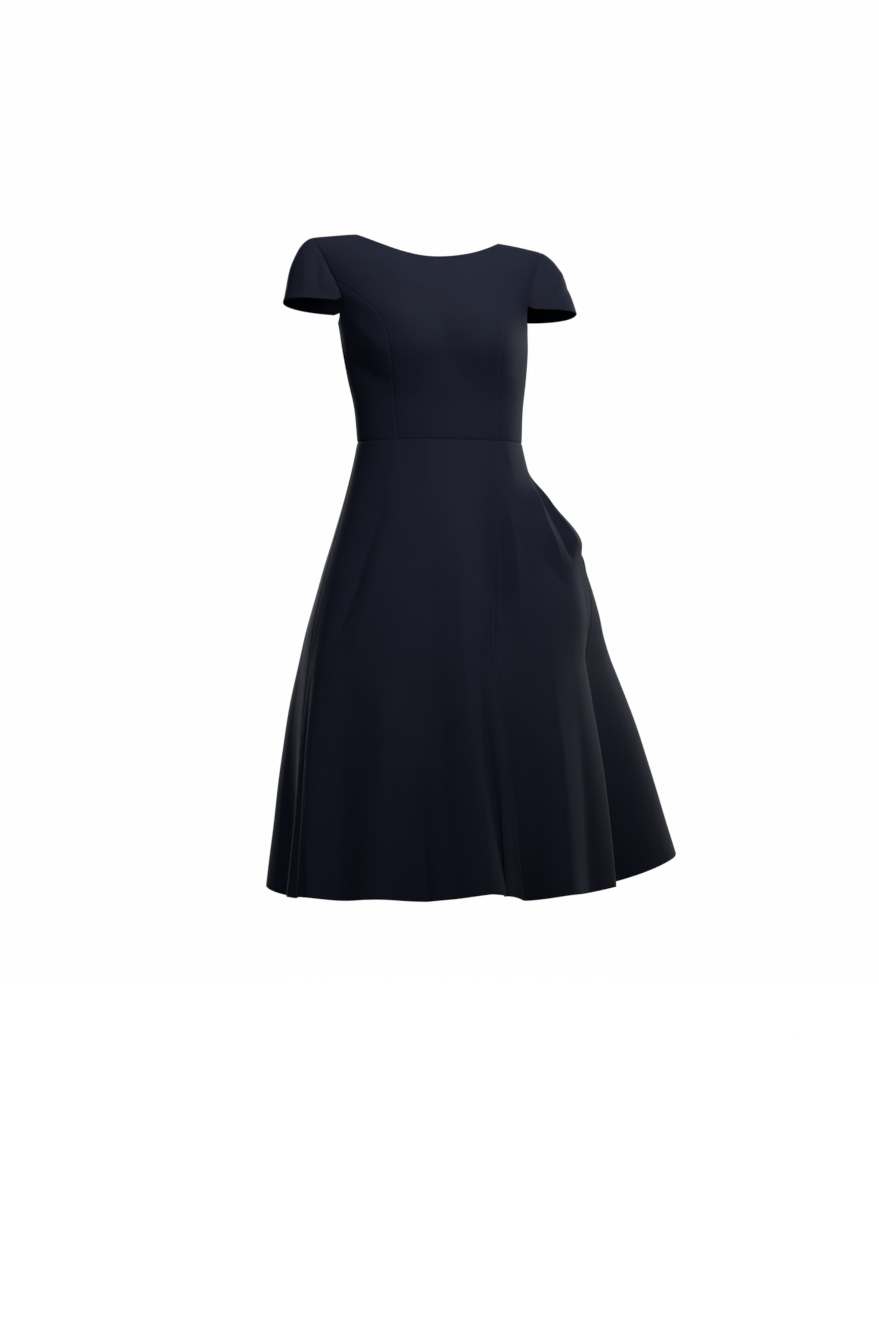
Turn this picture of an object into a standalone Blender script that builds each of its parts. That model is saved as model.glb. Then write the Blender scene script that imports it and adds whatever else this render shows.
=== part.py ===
"""A knee-length fit-and-flare dress in crepe, in the form it keeps when it is worn.

Units are metres and +Z is up. The centre front faces -Y and the wearer's left is +X. The origin is
the point between the shoulder seams from which the dress hangs. Every panel is a thin wall built
on a surface that is worked out from the tables below, and neighbouring panels end on a shared seam
line with a narrow gap between them.
"""
import math
from bisect import bisect_right
from collections import namedtuple

import bmesh
import bpy
import numpy as np

# Cloth and seams
CLOTH = 0.0012
SEAM = 0.0003
TAPE = 0.0009

# Levels and half widths of the bodice
WAIST_Z = -0.305
UNDERARM_Z = -0.130
NECK_HALF_WIDTH = 0.109
FRONT_NECK_DROP = 0.036
BACK_NECK_DROP = 0.042
SHOULDER_SLOPE = 0.49
NECK_COLUMN = 0.54

# Armhole: how far it cuts in from the side, as an angle round the body
ARMHOLE_CUT = math.radians(27)
ARMHOLE_BACK_EXTRA = math.radians(6)
ARMHOLE_WIDE_Z = -0.085

# Fullness that the princess seams give
BUST_DEPTH = 0.019
BUST_X = 0.082
BUST_Z = -0.160
BUST_REACH_X = 0.085
BUST_REACH_Z = 0.088

# Pose: the shoulders tilt and the bodice leans to the wearer's right
SHOULDER_TILT = 0.042

# Cap sleeves: the outermost point of the hem and the length of cloth left at its two ends
SLEEVE_OUT = (0.222, 0.006, -0.103)
SLEEVE_END = (0.007, 0.001, -0.003)
SLEEVE_FRONT_START = 1.16
SLEEVE_BACK_START = 1.09
SLEEVE_ROUND = 0.82
SLEEVE_ROWS = 5

# How the sleeve swells: the power of its fullness, the shares of the ways outwards, along the
# shoulder and up in which it leaves the armhole, and those outwards and up in which it meets its hem
SLEEVE_SWELL = 0.6
SLEEVE_LEAVING = (0.70, 0.25, -0.35)
SLEEVE_ARRIVING = (0.30, -0.95)

# Skirt
SKIRT_SLANT = 0.684
HAND_LIFT = 0.012
HAND_LIFT_REACH = math.radians(60)
SKIRT_DROP = 0.665
SKIRT_SWING = 0.006
LEFT_SEAM_HEM = math.radians(62)
RIGHT_SEAM_HEM = math.radians(-66)

# Zip: its lower end on the skirt, and the notch in which the slider rests at the neckline
ZIP_END = 0.27
NOTCH_HALF_WIDTH = 0.0028
NOTCH_ROWS = 2
TAPE_CLEAR_OF_SLIDER = 0.0045

# Slider and pull, measured out from the cloth, along the seam and across it
SLIDER_WIDTH = 0.0070
SLIDER_DEPTH = 0.0030
SLIDER_LENGTH = 0.0100
SLIDER_PLAY = 0.0002
BRIDGE_WIDTH = 0.0012
BRIDGE_LENGTH = 0.0066
BRIDGE_RISE = 0.0032
BRIDGE_BAR = 0.0008
PULL_AXIS = 0.0015
PULL_THICK = 0.0009
PULL_LENGTH = 0.0240
PULL_NECK_HALF = 0.0022
PULL_END_HALF = 0.0032
PULL_EYE_HALF = 0.0011
PULL_EYE_LENGTH = 0.0044

# The pull's round end is drawn in steps of so many degrees, and its eye's cutter goes past both faces
PULL_END_STEP = 30
EYE_CUT_BELOW = 0.001
EYE_CUT_ABOVE = 0.002

FRONT = -1
BACK = 1
LEFT = 1
RIGHT = -1

BodiceRow = namedtuple("BodiceRow", "z half_width front back lean")
BODICE = (
    BodiceRow(-0.305, 0.1240, 0.088, 0.072, 0.000),
    BodiceRow(-0.260, 0.1270, 0.090, 0.076, -0.001),
    BodiceRow(-0.210, 0.1345, 0.096, 0.086, -0.004),
    BodiceRow(-0.165, 0.1400, 0.101, 0.094, -0.007),
    BodiceRow(-0.130, 0.1430, 0.101, 0.096, -0.010),
    BodiceRow(-0.090, 0.1600, 0.096, 0.094, -0.014),
    BodiceRow(-0.050, 0.1740, 0.092, 0.090, -0.018),
    BodiceRow(0.000, 0.1950, 0.090, 0.088, -0.020),
)

# Where the princess seam crosses each level, as a half width from the centre front
PrincessRow = namedtuple("PrincessRow", "z x")
PRINCESS = (
    PrincessRow(-0.305, 0.0760),
    PrincessRow(-0.230, 0.0800),
    PrincessRow(-0.160, 0.0860),
    PrincessRow(-0.126, 0.0940),
    PrincessRow(-0.105, 0.1090),
    PrincessRow(-0.087, 0.1280),
    PrincessRow(-0.066, 0.1560),
)
PRINCESS_TOP = 1.32
PRINCESS_TIP = 0.002

# Heights of the rows of the bodice's walls: 0 at the waist, 1 at the underarm, 2 at the shoulder
LOWER_ROWS = tuple(step / 5 for step in range(6))
UPPER_ROWS = (1.03, 1.09, 1.16, 1.24, PRINCESS_TOP, 1.332, 1.46, 1.60, 1.74, 1.87, 2.0)
FRONT_COLUMNS = (0.15, 0.29, 0.42, 0.50, NECK_COLUMN, 0.70, 0.85, 1.0)
BACK_COLUMNS = (0.0, 0.05, 0.18, 0.31, 0.43, 0.50, NECK_COLUMN, 0.69, 0.85, 1.0)
SIDE_COLUMNS = 4

# Size of the skirt before its flutes, by height
SkirtRow = namedtuple("SkirtRow", "z half_width front back")
SKIRT = (
    SkirtRow(-0.980, 0.246, 0.246, 0.250),
    SkirtRow(-0.750, 0.229, 0.198, 0.212),
    SkirtRow(-0.600, 0.204, 0.161, 0.182),
    SkirtRow(-0.500, 0.178, 0.134, 0.156),
    SkirtRow(-0.440, 0.159, 0.118, 0.135),
    SkirtRow(-0.380, 0.141, 0.103, 0.108),
    SkirtRow(-0.340, 0.131, 0.094, 0.086),
    SkirtRow(-0.305, 0.124, 0.088, 0.072),
)

# Flutes of the skirt. Angles are degrees round from the centre front, positive to the wearer's
# left: at the top of the flute, at the hem, and how far it spreads to each side. The start is a
# share of the way from waist to hem, the rise is the power of its growth from there, and the depth,
# at the hem, is outwards where it is positive.
Flute = namedtuple("Flute", "top hem spread_right spread_left start rise depth")
FLUTES = (
    Flute(4, 11, 20, 15, 0.08, 1.1, 0.032),
    Flute(30, 23, 13, 15, 0.08, 0.9, -0.026),
    Flute(44, 40, 14, 12, 0.25, 1.2, 0.010),
    Flute(60, 62, 20, 14, 0.25, 1.2, 0.020),
    Flute(86, 80, 18, 16, 0.33, 1.2, -0.034),
    Flute(100, 101, 30, 46, 0.25, 0.9, 0.128),
    Flute(140, 134, 20, 20, 0.30, 1.2, -0.030),
    Flute(158, 157, 18, 18, 0.20, 1.2, 0.040),
    Flute(178, 177, 14, 14, 0.30, 1.2, -0.026),
    Flute(-156, -160, 18, 18, 0.18, 1.2, 0.038),
    Flute(-134, -137, 14, 14, 0.30, 1.2, -0.030),
    Flute(-112, -113, 18, 18, 0.25, 1.2, 0.026),
    Flute(-90, -87, 14, 14, 0.40, 1.2, -0.020),
    Flute(-58, -67, 14, 18, 0.26, 1.1, 0.022),
    Flute(-40, -48, 12, 12, 0.32, 1.2, -0.010),
    Flute(-14, -18, 13, 13, 0.42, 1.2, -0.018),
)

# The left pocket: how far the two edges of its mouth stand out from the side seam, by height
PocketRow = namedtuple("PocketRow", "z front_edge back_edge")
POCKET = (
    PocketRow(-0.700, 0.000, 0.000),
    PocketRow(-0.640, 0.004, 0.004),
    PocketRow(-0.600, 0.013, 0.013),
    PocketRow(-0.560, 0.025, 0.025),
    PocketRow(-0.500, 0.035, 0.035),
    PocketRow(-0.474, 0.041, 0.041),
    PocketRow(-0.452, 0.048, 0.022),
    PocketRow(-0.400, 0.026, 0.004),
    PocketRow(-0.352, 0.001, 0.001),
    PocketRow(-0.320, 0.000, 0.000),
)
POCKET_FRONT_REACH = math.radians(55)
POCKET_BACK_REACH = math.radians(40)
POCKET_FORWARD = 0.30
POCKET_ROWS = slice(2, 10)
POCKET_COLUMNS = 7
POUCH_DEPTH = 0.028
FLAT_POUCH_DEPTH = 0.001
POUCH_ROUND = 0.8

SKIRT_ROWS = (0.0, 0.035, 0.072, 0.115, 0.160, 0.200, 0.232, 0.258, 0.310, 0.380, 0.48,
              0.60, 0.73, 0.87, 1.0)
SKIRT_FRONT_COLUMNS = 32
SKIRT_BACK_COLUMNS = 21
TAPE_COLUMN = 0.05

NAVY = (0.0105, 0.0125, 0.0240)
NICKEL = (0.045, 0.048, 0.060)
CREPE_ROUGHNESS = 0.75
SLIDER_ROUGHNESS = 0.4
PULL_ROUGHNESS = 0.35

# Edges sharper than this stay sharp when the forms are shaded
SHARP_ANGLE = math.radians(40)

# Walls are level below this share of the way from the waist, so that the waist seam is flat
LEVEL_SHARE = 0.01

# Steps for slopes: an angle, the same for a seam's gap, and the lowest share on the skirt
SLOPE_STEP = 0.002
GAP_STEP = 0.001
SKIRT_LOWEST = 0.002

# How far the point that the shoulders face away from sinks, row by row
CENTRE_SINK = 0.02


def smooth(rows, column, z):
    """Value of one column of a table at height z, on a smooth curve through its rows."""
    heights = [row.z for row in rows]
    values = [getattr(row, column) for row in rows]
    z = min(max(z, heights[0]), heights[-1])
    i = min(bisect_right(heights, z) - 1, len(rows) - 2)
    rates = [(values[k + 1] - values[k]) / (heights[k + 1] - heights[k]) for k in range(len(rows) - 1)]
    step = heights[i + 1] - heights[i]
    t = (z - heights[i]) / step
    start_rate = knot_rate(rates, i)
    end_rate = knot_rate(rates, i + 1)
    rising = t * (1 - t) ** 2 * step * start_rate + t * t * (t - 1) * step * end_rate
    return (1 + 2 * t) * (1 - t) ** 2 * values[i] + t * t * (3 - 2 * t) * values[i + 1] + rising


def knot_rate(rates, k):
    """Slope of the smooth curve at knot k, level where the table turns."""
    if k == 0:
        return rates[0]
    if k == len(rates):
        return rates[-1]
    before, after = rates[k - 1], rates[k]
    return 2 * before * after / (before + after) if before * after > 0 else 0.0


def bump(*offsets):
    """Smooth swelling that is 1 at its centre and ends level where the offsets reach 1."""
    square = sum(offset * offset for offset in offsets)
    return (1 - square) ** 2 if square < 1 else 0.0


def unit(vector):
    """The vector at length 1."""
    return np.asarray(vector) / np.linalg.norm(vector)


def pose(point):
    """Lean and tilt a point of the bodice, more the higher it is."""
    x, y, z = point
    rise = (z - WAIST_Z) / -WAIST_Z
    return np.array((x + smooth(BODICE, "lean", z), y, z - SHOULDER_TILT * x * rise))


# ---------------------------------------------------------------------------- bodice


def bodice_height(v):
    """Height at row v: straight up to the underarm, then round over to the shoulder seam."""
    if v <= 1:
        return WAIST_Z + (UNDERARM_Z - WAIST_Z) * v
    return UNDERARM_Z * (1 - math.sin((v - 1) * math.pi / 2))


def bodice_point(face, turn, v):
    """Point of the bodice at an angle from the centre line, on the front or on the back."""
    z = bodice_height(v)
    closing = math.cos((v - 1) * math.pi / 2) if v > 1 else 1.0
    depth = smooth(BODICE, "front" if face == FRONT else "back", z) * closing
    x = smooth(BODICE, "half_width", z) * math.sin(turn)
    y = face * depth * math.cos(turn)
    if face == FRONT:
        reach = (abs(x) - BUST_X) / BUST_REACH_X
        y -= BUST_DEPTH * bump(reach, (z - BUST_Z) / BUST_REACH_Z) * math.cos(turn)
    slope = SHOULDER_SLOPE * (1 - closing ** 2)
    return pose((x, y, z - slope * (x * x - NECK_HALF_WIDTH ** 2)))


def normal(surface, u, v, centre, step=SLOPE_STEP):
    """Unit normal of a surface at (u, v), pointing away from a centre."""
    across = surface(u + step, v) - surface(u - step, v)
    along = surface(u, v + step) - surface(u, v - step)
    direction = unit(np.cross(across, along))
    outward = surface(u, v) - centre
    return direction if np.dot(direction, outward) > 0 else -direction


def bodice_normal(face, turn, v):
    """Outward normal of the bodice, level at the waist so that the seam there is flat."""
    centre = np.array((0.0, 0.0, bodice_height(v) - CENTRE_SINK * max(v - 1, 0)))
    direction = normal(lambda u, w: bodice_point(face, u, w), turn, v, centre)
    return unit((direction[0], direction[1], 0.0)) if v < LEVEL_SHARE else direction


def turn_for(face, turn, v, distance, step=GAP_STEP):
    """Change of angle that moves a point of the bodice a distance round the body."""
    travel = np.linalg.norm(bodice_point(face, turn + step, v) - bodice_point(face, turn - step, v))
    return distance * 2 * step / travel


def armhole_turn(face, v):
    """Angle of the armhole's edge, or of the side seam below it."""
    if v <= 1:
        return math.pi / 2
    z = bodice_height(v)
    below = max(ARMHOLE_WIDE_Z - z, 0) / (ARMHOLE_WIDE_Z - UNDERARM_Z)
    cut = ARMHOLE_CUT
    if face == BACK:
        cut += ARMHOLE_BACK_EXTRA * math.cos((v - 1) * math.pi / 2)
    return math.pi / 2 - cut * math.sqrt(1 - below * below)


def princess_turn(v):
    """Angle of the princess seam, or of the armhole's edge above it."""
    armhole = armhole_turn(FRONT, v)
    if v > PRINCESS_TOP:
        return armhole
    z = bodice_height(v)
    share = smooth(PRINCESS, "x", z) / smooth(BODICE, "half_width", z)
    return min(math.asin(min(share, 1.0)), armhole - turn_for(FRONT, armhole, v, PRINCESS_TIP))


def top_row(face, column):
    """Row at which a column ends: the neckline near the centre, the shoulder seam beyond it."""
    drop = FRONT_NECK_DROP if face == FRONT else BACK_NECK_DROP
    dip = 1 - math.asin(1 + drop / UNDERARM_Z) / (math.pi / 2)
    share = min(abs(column) / NECK_COLUMN, 1.0)
    return 2 - dip * math.sqrt(1 - share * share)


def column_row(face, column, v):
    """Row v of the whole bodice moved to where a column has it, clear of the seams at its ends."""
    if v <= 0:
        return SEAM / 2 / (UNDERARM_Z - WAIST_Z)
    if v <= 1:
        return v
    top = top_row(face, column)
    if v == 2 and abs(column) >= NECK_COLUMN:
        turn = column * armhole_turn(face, 2)
        depth = smooth(BODICE, "front", 0.0) * math.cos(turn)
        return 2 - SEAM / depth / math.pi
    return 1 + (v - 1) * (top - 1)


def bodice_grid(face, rows, columns, turn_of):
    """Points and normals of a bodice panel, whose turn_of gives the angle at a column and row."""
    points = []
    normals = []
    for v in rows:
        for column in columns:
            row = column_row(face, column, v)
            turn = turn_of(column, row, v)
            points.append(bodice_point(face, turn, row))
            normals.append(bodice_normal(face, turn, row))
    shape = (len(rows), len(columns), 3)
    return np.reshape(points, shape), np.reshape(normals, shape)


def centre_front_grid():
    """Centre front, from one princess seam to the other."""
    columns = tuple(-c for c in reversed(FRONT_COLUMNS)) + (0.0,) + FRONT_COLUMNS

    def turn_of(column, row, v):
        edge = princess_turn(row)
        if v <= PRINCESS_TOP:
            edge -= turn_for(FRONT, edge, row, SEAM / 2)
        return column * edge

    return bodice_grid(FRONT, LOWER_ROWS + UPPER_ROWS, columns, turn_of)


def side_front_grid(side):
    """Side front, from the princess seam to the side seam and the armhole."""
    rows = LOWER_ROWS + tuple(v for v in UPPER_ROWS if v <= PRINCESS_TOP)
    columns = tuple(step / SIDE_COLUMNS for step in range(SIDE_COLUMNS + 1))

    def turn_of(column, row, v):
        inner = princess_turn(row)
        inner += turn_for(FRONT, inner, row, SEAM / 2)
        outer = armhole_turn(FRONT, row)
        if v <= 1:
            outer -= turn_for(FRONT, outer, row, SEAM / 2)
        return side * (inner + column * (outer - inner))

    points = []
    normals = []
    for v in rows:
        row = max(v, SEAM / 2 / (UNDERARM_Z - WAIST_Z))
        for column in columns:
            turn = turn_of(column, row, v)
            points.append(bodice_point(FRONT, turn, row))
            normals.append(bodice_normal(FRONT, turn, row))
    shape = (len(rows), len(columns), 3)
    return np.reshape(points, shape), np.reshape(normals, shape)


def back_edge_gap(row_index, row_count):
    """Half the gap between the backs: a seam's, opening in a notch for the slider at the top."""
    from_top = row_count - 1 - row_index
    share = max(1 - from_top / NOTCH_ROWS, 0.0)
    return SEAM / 2 + (NOTCH_HALF_WIDTH - SEAM / 2) * share


def back_grid(side):
    """One back of the bodice, from the centre back to the side seam and the armhole."""
    rows = LOWER_ROWS + UPPER_ROWS

    def turn_of(column, row, v):
        outer = armhole_turn(BACK, row)
        if v <= 1:
            outer -= turn_for(BACK, outer, row, SEAM / 2)
        inner = turn_for(BACK, 0.0, row, back_edge_gap(rows.index(v), len(rows)))
        return side * (inner + column * (outer - inner))

    return bodice_grid(BACK, rows, BACK_COLUMNS, turn_of)


# ---------------------------------------------------------------------------- sleeves


def armhole_edge(face, v, side):
    """Sleeve side of the armhole's seam: the point, the bodice's normal and the way outwards."""
    turn = armhole_turn(face, v)
    turn += turn_for(face, turn, v, SEAM)
    ahead = bodice_point(face, side * (turn + GAP_STEP), v)
    point = bodice_point(face, side * turn, v)
    return point, bodice_normal(face, side * turn, v), unit(ahead - point)


def sleeve_stations():
    """Face and row of each place where the sleeve meets the armhole, from front to back."""
    front = [(FRONT, v) for v in UPPER_ROWS if v >= SLEEVE_FRONT_START]
    back = [(BACK, v) for v in reversed(UPPER_ROWS[:-1]) if v >= SLEEVE_BACK_START]
    return front + back


def sleeve_grid(side):
    """Cap sleeve, lofted from the armhole out and down to its hem."""
    stations = [armhole_edge(face, v, side) for face, v in sleeve_stations()]
    offset = np.array((side * SLEEVE_END[0], 0.0, SLEEVE_END[2]))
    forward = np.array((0.0, SLEEVE_END[1], 0.0))
    first = stations[0][0] + offset - forward
    last = stations[-1][0] + offset + forward
    middle = (first + last) / 2
    out = pose((side * SLEEVE_OUT[0], SLEEVE_OUT[1], SLEEVE_OUT[2])) - middle
    heads = len([1 for face, v in sleeve_stations() if face == FRONT]) - 1
    points = []
    normals = []
    for k, (start, start_normal, outwards) in enumerate(stations):
        share = (k - heads) / heads if k <= heads else (k - heads) / (len(stations) - 1 - heads)
        angle = share * math.pi / 2
        ahead = math.copysign(abs(math.sin(angle)) ** SLEEVE_ROUND, angle)
        aside = max(math.cos(angle), 0.0) ** SLEEVE_ROUND
        hem = middle + (last - first) / 2 * ahead + out * aside
        line = sleeve_line(side, start, hem, angle, outwards)
        points.append(line)
        normals.append(start_normal)
    points = np.array(points)
    return points, sleeve_normals(points, np.array(normals), middle)


def sleeve_line(side, start, hem, angle, outwards):
    """Points of one line of the sleeve, from the armhole to the hem."""
    chord = hem - start
    length = np.linalg.norm(chord)
    fullness = max(math.cos(angle), 0.0) ** SLEEVE_SWELL
    radial = np.array((side * math.cos(angle), math.sin(angle), 0.0))
    away, along, up = SLEEVE_LEAVING
    swelling = radial * away + outwards * along + np.array((0, 0, up))
    leaving = unit(chord / length * (1 - fullness) + swelling * fullness)
    away, up = SLEEVE_ARRIVING
    hanging = radial * away + np.array((0, 0, up))
    arriving = unit(chord / length * (1 - fullness) + hanging * fullness)
    line = []
    for step in range(SLEEVE_ROWS + 1):
        t = step / SLEEVE_ROWS
        line.append((1 + 2 * t) * (1 - t) ** 2 * start + t * t * (3 - 2 * t) * hem
                    + length * (t * (1 - t) ** 2 * leaving + t * t * (t - 1) * arriving))
    return line


def sleeve_normals(points, edge_normals, middle):
    """Normals of the sleeve, which at the armhole are the bodice's own."""
    across = np.gradient(points, axis=0)
    along = np.gradient(points, axis=1)
    normals = np.cross(across, along)
    normals /= np.linalg.norm(normals, axis=2, keepdims=True)
    outward = np.sum(normals * (points - middle), axis=2, keepdims=True)
    normals = np.where(outward[:, -1:, :] < 0, -normals, normals)
    normals[:, 0, :] = edge_normals
    return normals


# ---------------------------------------------------------------------------- skirt


def seam_turn(side, v):
    """Angle of a side seam, which swings forward on its way down."""
    hem = LEFT_SEAM_HEM if side == LEFT else RIGHT_SEAM_HEM
    return side * math.pi / 2 + (hem - side * math.pi / 2) * v


def flute_swell(turn, v):
    """How far the flutes push the skirt out at an angle and a share of its length."""
    total = 0.0
    for flute in FLUTES:
        if v <= flute.start:
            continue
        growth = ((v - flute.start) / (1 - flute.start)) ** flute.rise
        centre = math.radians(flute.top + (flute.hem - flute.top) * v)
        away = (turn - centre + math.pi) % (2 * math.pi) - math.pi
        spread = math.radians(flute.spread_left if away > 0 else flute.spread_right)
        total += flute.depth * growth * bump(away / spread)
    return total


def skirt_plan(turn, v):
    """Plan position of the skirt, without the pocket's fullness."""
    z = WAIST_Z - v * SKIRT_DROP
    depth = smooth(SKIRT, "front" if math.cos(turn) > 0 else "back", z)
    x = smooth(SKIRT, "half_width", z) * math.sin(turn)
    y = -depth * math.cos(turn)
    radius = math.hypot(x, y)
    scale = 1 + flute_swell(turn, v) / radius
    return np.array((x * scale + SKIRT_SWING * v, y * scale))


def skirt_point(turn, v, behind_seam=False):
    """Point of the skirt at an angle round it and a share of the way from waist to hem."""
    spread = np.linalg.norm(skirt_plan(turn, 1.0) - skirt_plan(turn, 0.0))
    lifted = HAND_LIFT * bump((turn % (2 * math.pi) - math.pi / 2) / HAND_LIFT_REACH)
    drop = math.sqrt(SKIRT_SLANT ** 2 - spread ** 2) - lifted
    z = WAIST_Z - v * drop
    x, y = skirt_plan(turn, v)
    seam = seam_turn(LEFT, min(max(v, 0.0), 1.0))
    reach = POCKET_BACK_REACH if behind_seam else POCKET_FRONT_REACH
    edge = "back_edge" if behind_seam else "front_edge"
    out = smooth(POCKET, edge, z) * bump((turn - seam) / reach)
    return np.array((x + out, y - out * POCKET_FORWARD, z))


def skirt_normal(turn, v, behind_seam=False):
    """Outward normal of the skirt, level at the waist."""
    if v < LEVEL_SHARE:
        v = 0.0
    low = max(v, SKIRT_LOWEST)
    centre = np.append(np.array((SKIRT_SWING * v, 0.0)), WAIST_Z - v * SKIRT_DROP)
    direction = normal(lambda u, w: skirt_point(u, w, behind_seam), turn, low, centre)
    return unit((direction[0], direction[1], 0.0)) if v < LEVEL_SHARE else direction


def skirt_grid(columns, turn_range, behind_seam=False):
    """Points and normals of a skirt panel between the two angles that turn_range gives a row."""
    points = []
    normals = []
    for v in SKIRT_ROWS:
        row = max(v, SEAM / 2 / SKIRT_DROP)
        start, end = turn_range(row)
        for column in columns:
            turn = start + (end - start) * column
            points.append(skirt_point(turn, row, behind_seam))
            normals.append(skirt_normal(turn, row, behind_seam))
    shape = (len(SKIRT_ROWS), len(columns), 3)
    return np.reshape(points, shape), np.reshape(normals, shape)


def skirt_seam_gap(turn, v):
    """Angle that takes half a seam's gap at a place on the skirt."""
    travel = np.linalg.norm(skirt_plan(turn + GAP_STEP, v) - skirt_plan(turn - GAP_STEP, v))
    return SEAM / 2 * 2 * GAP_STEP / travel


def skirt_front_grid():
    """Front of the skirt, in one piece from side seam to side seam."""

    def turn_range(v):
        right = seam_turn(RIGHT, v)
        left = seam_turn(LEFT, v)
        return right + skirt_seam_gap(right, v), left - skirt_seam_gap(left, v)

    columns = [k / SKIRT_FRONT_COLUMNS for k in range(SKIRT_FRONT_COLUMNS + 1)]
    return skirt_grid(columns, turn_range)


def skirt_back_grid(side):
    """One back of the skirt, from the centre back to the side seam."""

    def turn_range(v):
        seam = seam_turn(side, v)
        centre = side * math.pi
        return centre - side * skirt_seam_gap(centre, v), seam + side * skirt_seam_gap(seam, v)

    even = SKIRT_BACK_COLUMNS - 1
    columns = [0.0] + [TAPE_COLUMN + (1 - TAPE_COLUMN) * k / even for k in range(even + 1)]
    return skirt_grid(columns, turn_range, behind_seam=side == LEFT)


# ---------------------------------------------------------------------------- pockets and zip


def pocket_grids(front_panel, back_panel, side):
    """Front and back layer of a pocket bag, made from the skirt's points at the side seam."""
    columns = slice(-POCKET_COLUMNS - 1, None) if side == LEFT else slice(POCKET_COLUMNS + 1)
    block = front_panel[0][POCKET_ROWS, columns]
    normals = front_panel[1][POCKET_ROWS, columns]
    behind = CLOTH + SEAM
    outer = block - normals * behind
    rows = block.shape[0]
    from_mouth = np.linspace(1, 0, POCKET_COLUMNS + 1) if side == LEFT else np.linspace(0, 1, POCKET_COLUMNS + 1)
    fall = np.sin(np.linspace(0, math.pi, rows)).clip(0) ** POUCH_ROUND
    run = np.cos(from_mouth * math.pi / 2).clip(0) ** POUCH_ROUND
    fullness = POUCH_DEPTH if side == LEFT else FLAT_POUCH_DEPTH
    pouch = fullness * np.outer(fall, run)[:, :, np.newaxis]
    inner = block - normals * (2 * behind + pouch)
    seam_points = back_panel[0][POCKET_ROWS, -1]
    seam_normals = back_panel[1][POCKET_ROWS, -1]
    inner[:, -1 if side == LEFT else 0] = seam_points - seam_normals * 2 * behind
    return (outer, normals), (inner, normals)


def tape_grid(bodice_back, skirt_back, side):
    """One tape of the zip, lying inside the backs from the neckline to below the waist."""
    zip_rows = [k for k, v in enumerate(SKIRT_ROWS) if 0 < v <= ZIP_END]
    points = np.concatenate((bodice_back[0][::-1, :2], skirt_back[0][zip_rows, :2]))
    normals = np.concatenate((bodice_back[1][::-1, :2], skirt_back[1][zip_rows, :2]))
    points = points - normals * (CLOTH / 2 + SEAM + TAPE / 2)
    for k in range(NOTCH_ROWS + 1):
        share = TAPE_CLEAR_OF_SLIDER / np.linalg.norm(points[k, 1] - points[k, 0])
        points[k, 0] += (points[k, 1] - points[k, 0]) * share
        normals[k, 0] += (normals[k, 1] - normals[k, 0]) * share
    return points, normals


# ---------------------------------------------------------------------------- solids


def material(name, colour, roughness, metallic=0.0):
    """Plain surface with a colour, a roughness and a metallic value."""
    made = bpy.data.materials.new(name)
    made.use_nodes = True
    shader = made.node_tree.nodes["Principled BSDF"]
    shader.inputs["Base Color"].default_value = (*colour, 1.0)
    shader.inputs["Roughness"].default_value = roughness
    shader.inputs["Metallic"].default_value = metallic
    return made


def add_object(name, vertices, faces, surface):
    """Object with the given mesh, its faces turned outwards and its round forms shaded smooth."""
    mesh = bpy.data.meshes.new(name)
    mesh.from_pydata([tuple(vertex) for vertex in vertices], [], faces)
    mesh.materials.append(surface)
    mesh.shade_smooth()
    mesh.set_sharp_from_angle(angle=SHARP_ANGLE)
    made = bpy.data.objects.new(name, mesh)
    bpy.context.scene.collection.objects.link(made)
    return made


def wall(name, grid, thickness, surface):
    """Closed wall with the grid of points in its middle."""
    points, normals = grid
    rows, columns = points.shape[:2]
    outer = (points + normals * thickness / 2).reshape(-1, 3)
    inner = (points - normals * thickness / 2).reshape(-1, 3)
    count = rows * columns
    first = np.cross(points[1, 0] - points[0, 0], points[0, 1] - points[0, 0])
    flipped = np.dot(first, normals[0, 0]) < 0
    faces = []
    for i in range(rows - 1):
        for j in range(columns - 1):
            a = i * columns + j
            b, c, d = a + columns, a + columns + 1, a + 1
            faces += [(a, b, c), (a, c, d), (a + count, c + count, b + count),
                      (a + count, d + count, c + count)]
    border = [(0, j) for j in range(columns - 1)]
    border += [(i, columns - 1) for i in range(rows - 1)]
    border += [(rows - 1, j) for j in range(columns - 1, 0, -1)]
    border += [(i, 0) for i in range(rows - 1, 0, -1)]
    ring = [i * columns + j for i, j in border]
    for k, a in enumerate(ring):
        b = ring[(k + 1) % len(ring)]
        faces += [(a, b, b + count), (a, b + count, a + count)]
    if flipped:
        faces = [face[::-1] for face in faces]
    return add_object(name, np.concatenate((outer, inner)), faces, surface)


def cloth(name, grid, thickness=CLOTH):
    """A panel of the dress in its own crepe material."""
    return wall(name, grid, thickness, material(f"navy crepe {name}", NAVY, CREPE_ROUGHNESS))


def seam_frame():
    """Place on the centre back for the slider: its middle, out of the cloth, and down the seam."""
    middle = bodice_point(BACK, 0.0, column_row(BACK, 0.0, UPPER_ROWS[-2]))
    below = bodice_point(BACK, 0.0, column_row(BACK, 0.0, UPPER_ROWS[-4]))
    outward = bodice_normal(BACK, 0.0, column_row(BACK, 0.0, UPPER_ROWS[-2]))
    down = below - middle
    down = unit(down - outward * np.dot(down, outward))
    return middle, outward, down


def prism(name, frame, outline, half_width, surface):
    """Solid with an outline drawn along the seam and out of the cloth, as wide to either side."""
    middle, outward, down = frame
    across = np.cross(outward, down)
    flat = [middle + down * along + outward * out for along, out in outline]
    vertices = [point - across * half_width for point in flat] + [point + across * half_width for point in flat]
    return loop_solid(name, vertices, len(flat), surface)


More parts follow.
